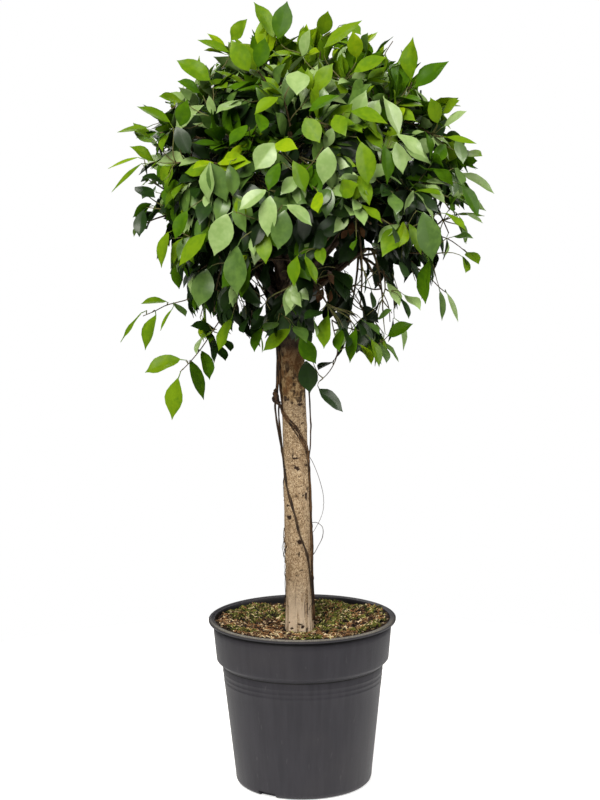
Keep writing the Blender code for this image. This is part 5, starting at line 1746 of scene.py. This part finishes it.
# Rows of the leaf blade: (share of its length, share of its half width).
LEAF_ROWS = (
    (0.00, 0.06), (0.08, 0.34), (0.20, 0.70), (0.35, 0.95), (0.50, 1.00), (0.65, 0.89), (0.78, 0.61), (0.88, 0.29),
    (0.95, 0.11), (1.00, 0.02),
)
LEAF_COLUMNS = (-1.0, -0.52, -0.09, 0.09, 0.52, 1.0)
LEAF_BACK_COLUMNS = (-1.0, 0.0, 1.0)
LEAF_BOW = 0.016
LEAF_THICKNESS = 0.008
PETIOLE = 0.16
# The kinds of face on a leaf, in the order of its finishes.
UPPER, UNDER, RIB = 0, 1, 2
RIB_LEAST_WIDTH = 0.45
RIB_ENDS = 0.9


def leaf_sheet(columns, lift, side_kind, middle_kind):
    """One side of the blade: a grid drawn in to the leaf's outline, with or without a strip in its middle."""
    across, rows = len(columns) - 1, len(LEAF_ROWS) - 1
    bpy.ops.mesh.primitive_grid_add(x_subdivisions=across, y_subdivisions=rows, size=1.0)
    item = bpy.context.active_object
    for corner in item.data.vertices:
        side = columns[round((corner.co.x + 0.5) * across)]
        share, wide = LEAF_ROWS[round((corner.co.y + 0.5) * rows)]
        inside = abs(side) < 0.99 and 0.0 < share < 1.0
        wide = max(wide, RIB_LEAST_WIDTH) if 0.0 < abs(side) < 0.1 and share < RIB_ENDS else wide
        corner.co = (side * 0.5 * wide, share, lift * (1.0 - side * side) if inside else 0.0)
    for _ in range(3):
        item.data.materials.append(None)
    for face in item.data.polygons:
        face.material_index = middle_kind if abs(face.center.x) < 0.01 and across > 2 else side_kind
    return item


STALK_RADII = (0.016, 0.022)
STALK_OVERLAP = 0.03
STALK_FORWARD = 0.012
STALK_SUNK = 0.006


def make_leaf_blank():
    """A leaf one unit long: its blade of five strips with a narrow rib, an underside, and a three-sided stalk."""
    back = leaf_sheet(LEAF_BACK_COLUMNS, -LEAF_THICKNESS, UNDER, UNDER)
    edit_all()
    bpy.ops.mesh.flip_normals()
    bpy.ops.object.mode_set(mode="OBJECT")
    front = leaf_sheet(LEAF_COLUMNS, LEAF_BOW, UPPER, RIB)
    bpy.ops.mesh.primitive_cone_add(vertices=3, radius1=STALK_RADII[0], radius2=STALK_RADII[1],
                                    depth=PETIOLE + STALK_OVERLAP,
                                    location=(0.0, -PETIOLE / 2 + STALK_FORWARD, -STALK_SUNK),
                                    rotation=(-math.pi / 2, 0.0, 0.0))
    stalk = bpy.context.active_object
    bpy.ops.object.transform_apply(location=True, rotation=True, scale=True)
    for _ in range(3):
        stalk.data.materials.append(None)
    for face in stalk.data.polygons:
        face.material_index = RIB
    active(front)
    stalk.select_set(True)
    back.select_set(True)
    bpy.ops.object.join()
    edit_all()
    bpy.ops.mesh.remove_doubles(threshold=SEAM_DOUBLES)
    bpy.ops.object.mode_set(mode="OBJECT")
    return front


# The blade's wave: how many turns of it to the blade, and how its twist shifts it from leaf to leaf.
WAVE_TURNS = 9.0
WAVE_SHIFT = 20.0
FOLD_EASE = 4.0
WAVE_EASE = 8


def bent_leaf(leaf):
    """How one leaf sits: its stalk out from the shoot, its blade with its own fold, curl, wave and twist."""
    side = leaf["way"].cross(leaf["face"]).normalized()
    up = side.cross(leaf["way"]).normalized()
    turn = np.array((side, leaf["way"], up))
    base = np.array(leaf["base"])
    stalk = np.array(leaf["stalk"])
    length = leaf["length"]

    def place(own):
        blade = np.clip(own[:, 1], 0.0, 1.0)
        x = own[:, 0] * leaf["width"] / length * (1.0 + leaf["shape"] * (blade - 0.5))
        x = np.where(own[:, 1] < 0.0, own[:, 0] * 0.5, x)
        z = own[:, 2] + leaf["fold"] * np.abs(x) * np.clip(blade * FOLD_EASE, 0.0, 1.0)
        z = z - leaf["curl"] * blade * blade * 0.5
        edge = np.sign(x) * np.minimum(1.0, np.abs(x) * WAVE_EASE)
        z = z + leaf["wave"] * np.sin(blade * WAVE_TURNS + leaf["twist"] * WAVE_SHIFT) * edge
        angle = leaf["twist"] * blade
        x, z = x * np.cos(angle) - z * np.sin(angle), x * np.sin(angle) + z * np.cos(angle)
        bent = np.stack((x, np.maximum(own[:, 1], 0.0), z), axis=1) @ turn
        along_stalk = np.clip(own[:, 1] + PETIOLE, 0.0, PETIOLE)
        return base + (bent + along_stalk[:, None] * stalk) * length

    return place


LEAF_SMOOTH_BELOW = math.radians(60)


def make_leaves(leaves, masses, finishes):
    """One piece for each green, with all its leaves."""
    blank = make_leaf_blank()
    nodes = ["foliage_" + mass["label"] for mass in masses]
    for tone, name in enumerate(LEAF_TONES):
        chosen = [leaf for leaf in leaves if leaf["tone"] == tone]
        corners, faces, kinds = copies(blank, [bent_leaf(leaf) for leaf in chosen])
        from_arrays("leaves_" + name, corners, faces)
        item = finished("leaves_" + name, nodes, finishes[name], LEAF_SMOOTH_BELOW)
        item.data.polygons.foreach_set("material_index", kinds)
    bpy.data.objects.remove(blank, do_unlink=True)


def make_twigs(masses, shoots, sprigs, materials):
    nodes = ["foliage_" + mass["label"] for mass in masses]
    tubes([line for mass in masses for line in mass["lines"]] + sprigs, 1)
    finished("twigs_woody", nodes, [materials["twigs"]])
    tubes(shoots, 0)
    finished("shoots_green", nodes, [materials["shoots"]])


# The studio.

# The light of the room itself, and the lamps: name, place, size, power and tint.
ROOM_LIGHT = 0.06
LIGHTS = (
    ("key", (-1.1, -2.7, 2.9), 2.4, 172.0, (1.0, 0.97, 0.90)),
    ("side", (2.6, -0.6, 2.2), 1.8, 58.0, (1.0, 0.98, 0.94)),
    ("rear", (-0.6, 2.7, 2.9), 2.4, 40.0, (1.0, 0.98, 0.94)),
)
LIGHTS_AIM = Vector((0.0, 0.0, 0.85))
FLOOR_RADIUS = 1.2
FLOOR_BELOW = 0.0008
FLOOR_SHADES = ((0.92, 0.92, 0.92), (0.95, 0.95, 0.95))
FLOOR_GLOW = 0.62
WHITE = (1.0, 1.0, 1.0)


def make_room():
    """White all round for the camera, and a little light from everywhere for the plant."""
    world = bpy.data.worlds.new("studio")
    bpy.context.scene.world = world
    world.use_nodes = True
    room = world.node_tree.nodes["Background"]
    room.inputs[0].default_value = (*WHITE, 1.0)
    rays = world.node_tree.nodes.new("ShaderNodeLightPath")
    level = world.node_tree.nodes.new("ShaderNodeMapRange")
    level.inputs[3].default_value = ROOM_LIGHT
    level.inputs[4].default_value = 1.0
    world.node_tree.links.new(rays.outputs["Is Camera Ray"], level.inputs[0])
    world.node_tree.links.new(level.outputs[0], room.inputs[1])


def make_floor():
    bpy.ops.mesh.primitive_circle_add(vertices=96, radius=FLOOR_RADIUS, fill_type="NGON",
                                      location=(0.0, 0.0, -FLOOR_BELOW))
    floor = bpy.context.active_object
    floor.name = "floor"
    finish = Finish("floor", specular_ior_level=0.1)
    drift = finish.noise(1.5, 1.0)
    finish.feed(base_color=finish.colour(drift, *FLOOR_SHADES), roughness=0.9, emission_color=WHITE,
                emission_strength=FLOOR_GLOW)
    floor.data.materials.append(finish.material)


def make_studio():
    """The room, its lamps, the floor and the photograph's camera."""
    make_room()
    for name, place, size, power, tint in LIGHTS:
        light = bpy.data.lights.new(name, "AREA")
        light.shape = "DISK"
        light.size = size
        light.energy = power
        light.color = tint
        item = bpy.data.objects.new(name, light)
        item.location = place
        item.rotation_euler = (LIGHTS_AIM - Vector(place)).to_track_quat("-Z", "Y").to_euler()
        bpy.context.scene.collection.objects.link(item)
    make_floor()
    camera = bpy.data.cameras.new("camera")
    camera.angle = 2.0 * math.atan(PICTURE[1] / 2.0 / FOCAL_PIXELS)
    item = bpy.data.objects.new("camera", camera)
    turn = Matrix.Rotation(math.pi / 2 - CAMERA_PITCH, 4, "X") @ Matrix.Rotation(-CAMERA_ROLL, 4, "Z")
    item.matrix_world = Matrix.Translation(CAMERA_PLACE) @ turn
    bpy.context.scene.collection.objects.link(item)
    bpy.context.scene.camera = item
    bpy.context.scene.view_settings.view_transform = "Standard"


# Each green: two shades of the blade, the rib, how pale the underside is, its sheen and its gloss. Young and bright
# are partly painted light, dark and deep painted shade, pale a painted reflection.
GREENS = dict(
    young=((0.26, 0.38, 0.006), (0.180, 0.31, 0.005), (0.58, 0.70, 0.19), 0.28, 0.04, 0.10),
    bright=((0.155, 0.265, 0.006), (0.098, 0.198, 0.005), (0.44, 0.58, 0.15), 0.28, 0.04, 0.12),
    middle=((0.108, 0.200, 0.034), (0.062, 0.130, 0.020), (0.27, 0.38, 0.13), 0.45, 0.50, 0.50),
    dark=((0.016, 0.046, 0.004), (0.009, 0.029, 0.003), (0.09, 0.16, 0.04), 0.22, 0.08, 0.40),
    full=((0.070, 0.162, 0.003), (0.042, 0.112, 0.003), (0.26, 0.40, 0.07), 0.15, 0.03, 0.08),
    pale=((0.32, 0.45, 0.165), (0.23, 0.36, 0.105), (0.50, 0.62, 0.32), 0.10, 0.20, 0.45),
    dried=((0.115, 0.045, 0.018), (0.20, 0.095, 0.040), (0.26, 0.15, 0.07), 0.30, 0.05, 0.30),
    deep=((0.007, 0.020, 0.002), (0.004, 0.012, 0.002), (0.03, 0.06, 0.015), 0.08, 0.0, 0.25),
)
UNDERSIDE = (0.20, 0.30, 0.09)
# A blade's roughness; its underside's and its rib's roughness, second shade for the first, and sheen.
BLADE_ROUGHNESS = 0.36
UNDER_LOOK = (0.50, 0.8, 0.3)
RIB_LOOK = (0.42, 0.85, 0.6)
# What lies on the peat: two shades, how fine they change, and the roughness.
BITS = dict(
    dark_chips=((0.004, 0.002, 0.0015), (0.060, 0.028, 0.018), 120.0, 0.75),
    tan_chips=((0.30, 0.17, 0.080), (0.88, 0.70, 0.47), 70.0, 0.75),
    brown_fibres=((0.010, 0.005, 0.003), (0.33, 0.165, 0.065), 60.0, 0.75),
    pale_fibres=((0.30, 0.19, 0.09), (0.84, 0.70, 0.42), 60.0, 0.75),
    green_moss=((0.004, 0.006, 0.002), (0.138, 0.148, 0.021), 75.0, 0.8),
    pale_moss=((0.16, 0.18, 0.02), (0.70, 0.66, 0.25), 120.0, 0.8),
    rusty_moss=((0.28, 0.11, 0.035), (0.66, 0.34, 0.15), 90.0, 0.8),
)
# Limbs, shoots and roots: the finish's name and two shades; the thick root is darker from its knot up, partly the
# knot's own dark bark and partly painted shade under the crown.
WOODS = dict(
    boughs=("bough_bark", (0.030, 0.018, 0.009), (0.105, 0.062, 0.030)),
    twigs=("twig_bark", (0.050, 0.033, 0.015), (0.13, 0.088, 0.040)),
    shoots=("shoot_bark", (0.15, 0.16, 0.045), (0.11, 0.09, 0.035)),
    roots=("root_bark", (0.020, 0.009, 0.004), (0.128, 0.066, 0.027), ROOT_KNOT_HEIGHT - 0.016),
    fine_roots=("fine_root_bark", (0.012, 0.007, 0.004), (0.060, 0.034, 0.017)),
)


def dimmed(shade, share):
    return tuple(value * share for value in shade)


def make_greens():
    """The finishes of the leaves: for each green its blade, its underside and its rib."""
    leaf = {}
    for name, (first, second, rib, washed, sheen, gloss) in GREENS.items():
        under = tuple(mix(value, pale, washed) for value, pale in zip(first, UNDERSIDE))
        leaf[name] = [leaf_finish("leaf_" + name, first, second, BLADE_ROUGHNESS, sheen, gloss)]
        for part, shade, (roughness, second_share, sheen_share) in (("under", under, UNDER_LOOK),
                                                                    ("rib", rib, RIB_LOOK)):
            leaf[name].append(leaf_finish(f"leaf_{part}_{name}", shade, dimmed(shade, second_share), roughness,
                                          sheen * sheen_share, gloss))
    return leaf


def make_finishes():
    made = dict(leaf=make_greens(), pot=pot_plastic(), peat=peat())
    made.update({name: plain_bits(name, *look) for name, look in BITS.items()})
    made["bark"] = pale_bark()
    made.update({name: twig_bark(*look) for name, look in WOODS.items()})
    return made


make_studio()
finishes = make_finishes()
make_pot(finishes["pot"])
make_soil(finishes["peat"])
make_litter(finishes)
masses = make_masses()
make_wood(masses, [finishes["bark"], finishes["boughs"]])
make_roots(finishes)
grow_stems_and_twigs(masses)
shoots, sprigs, leaves = grow_shoots(masses)
make_twigs(masses, shoots, sprigs, finishes)
make_leaves(leaves, masses, finishes["leaf"])
bpy.ops.object.select_all(action="DESELECT")
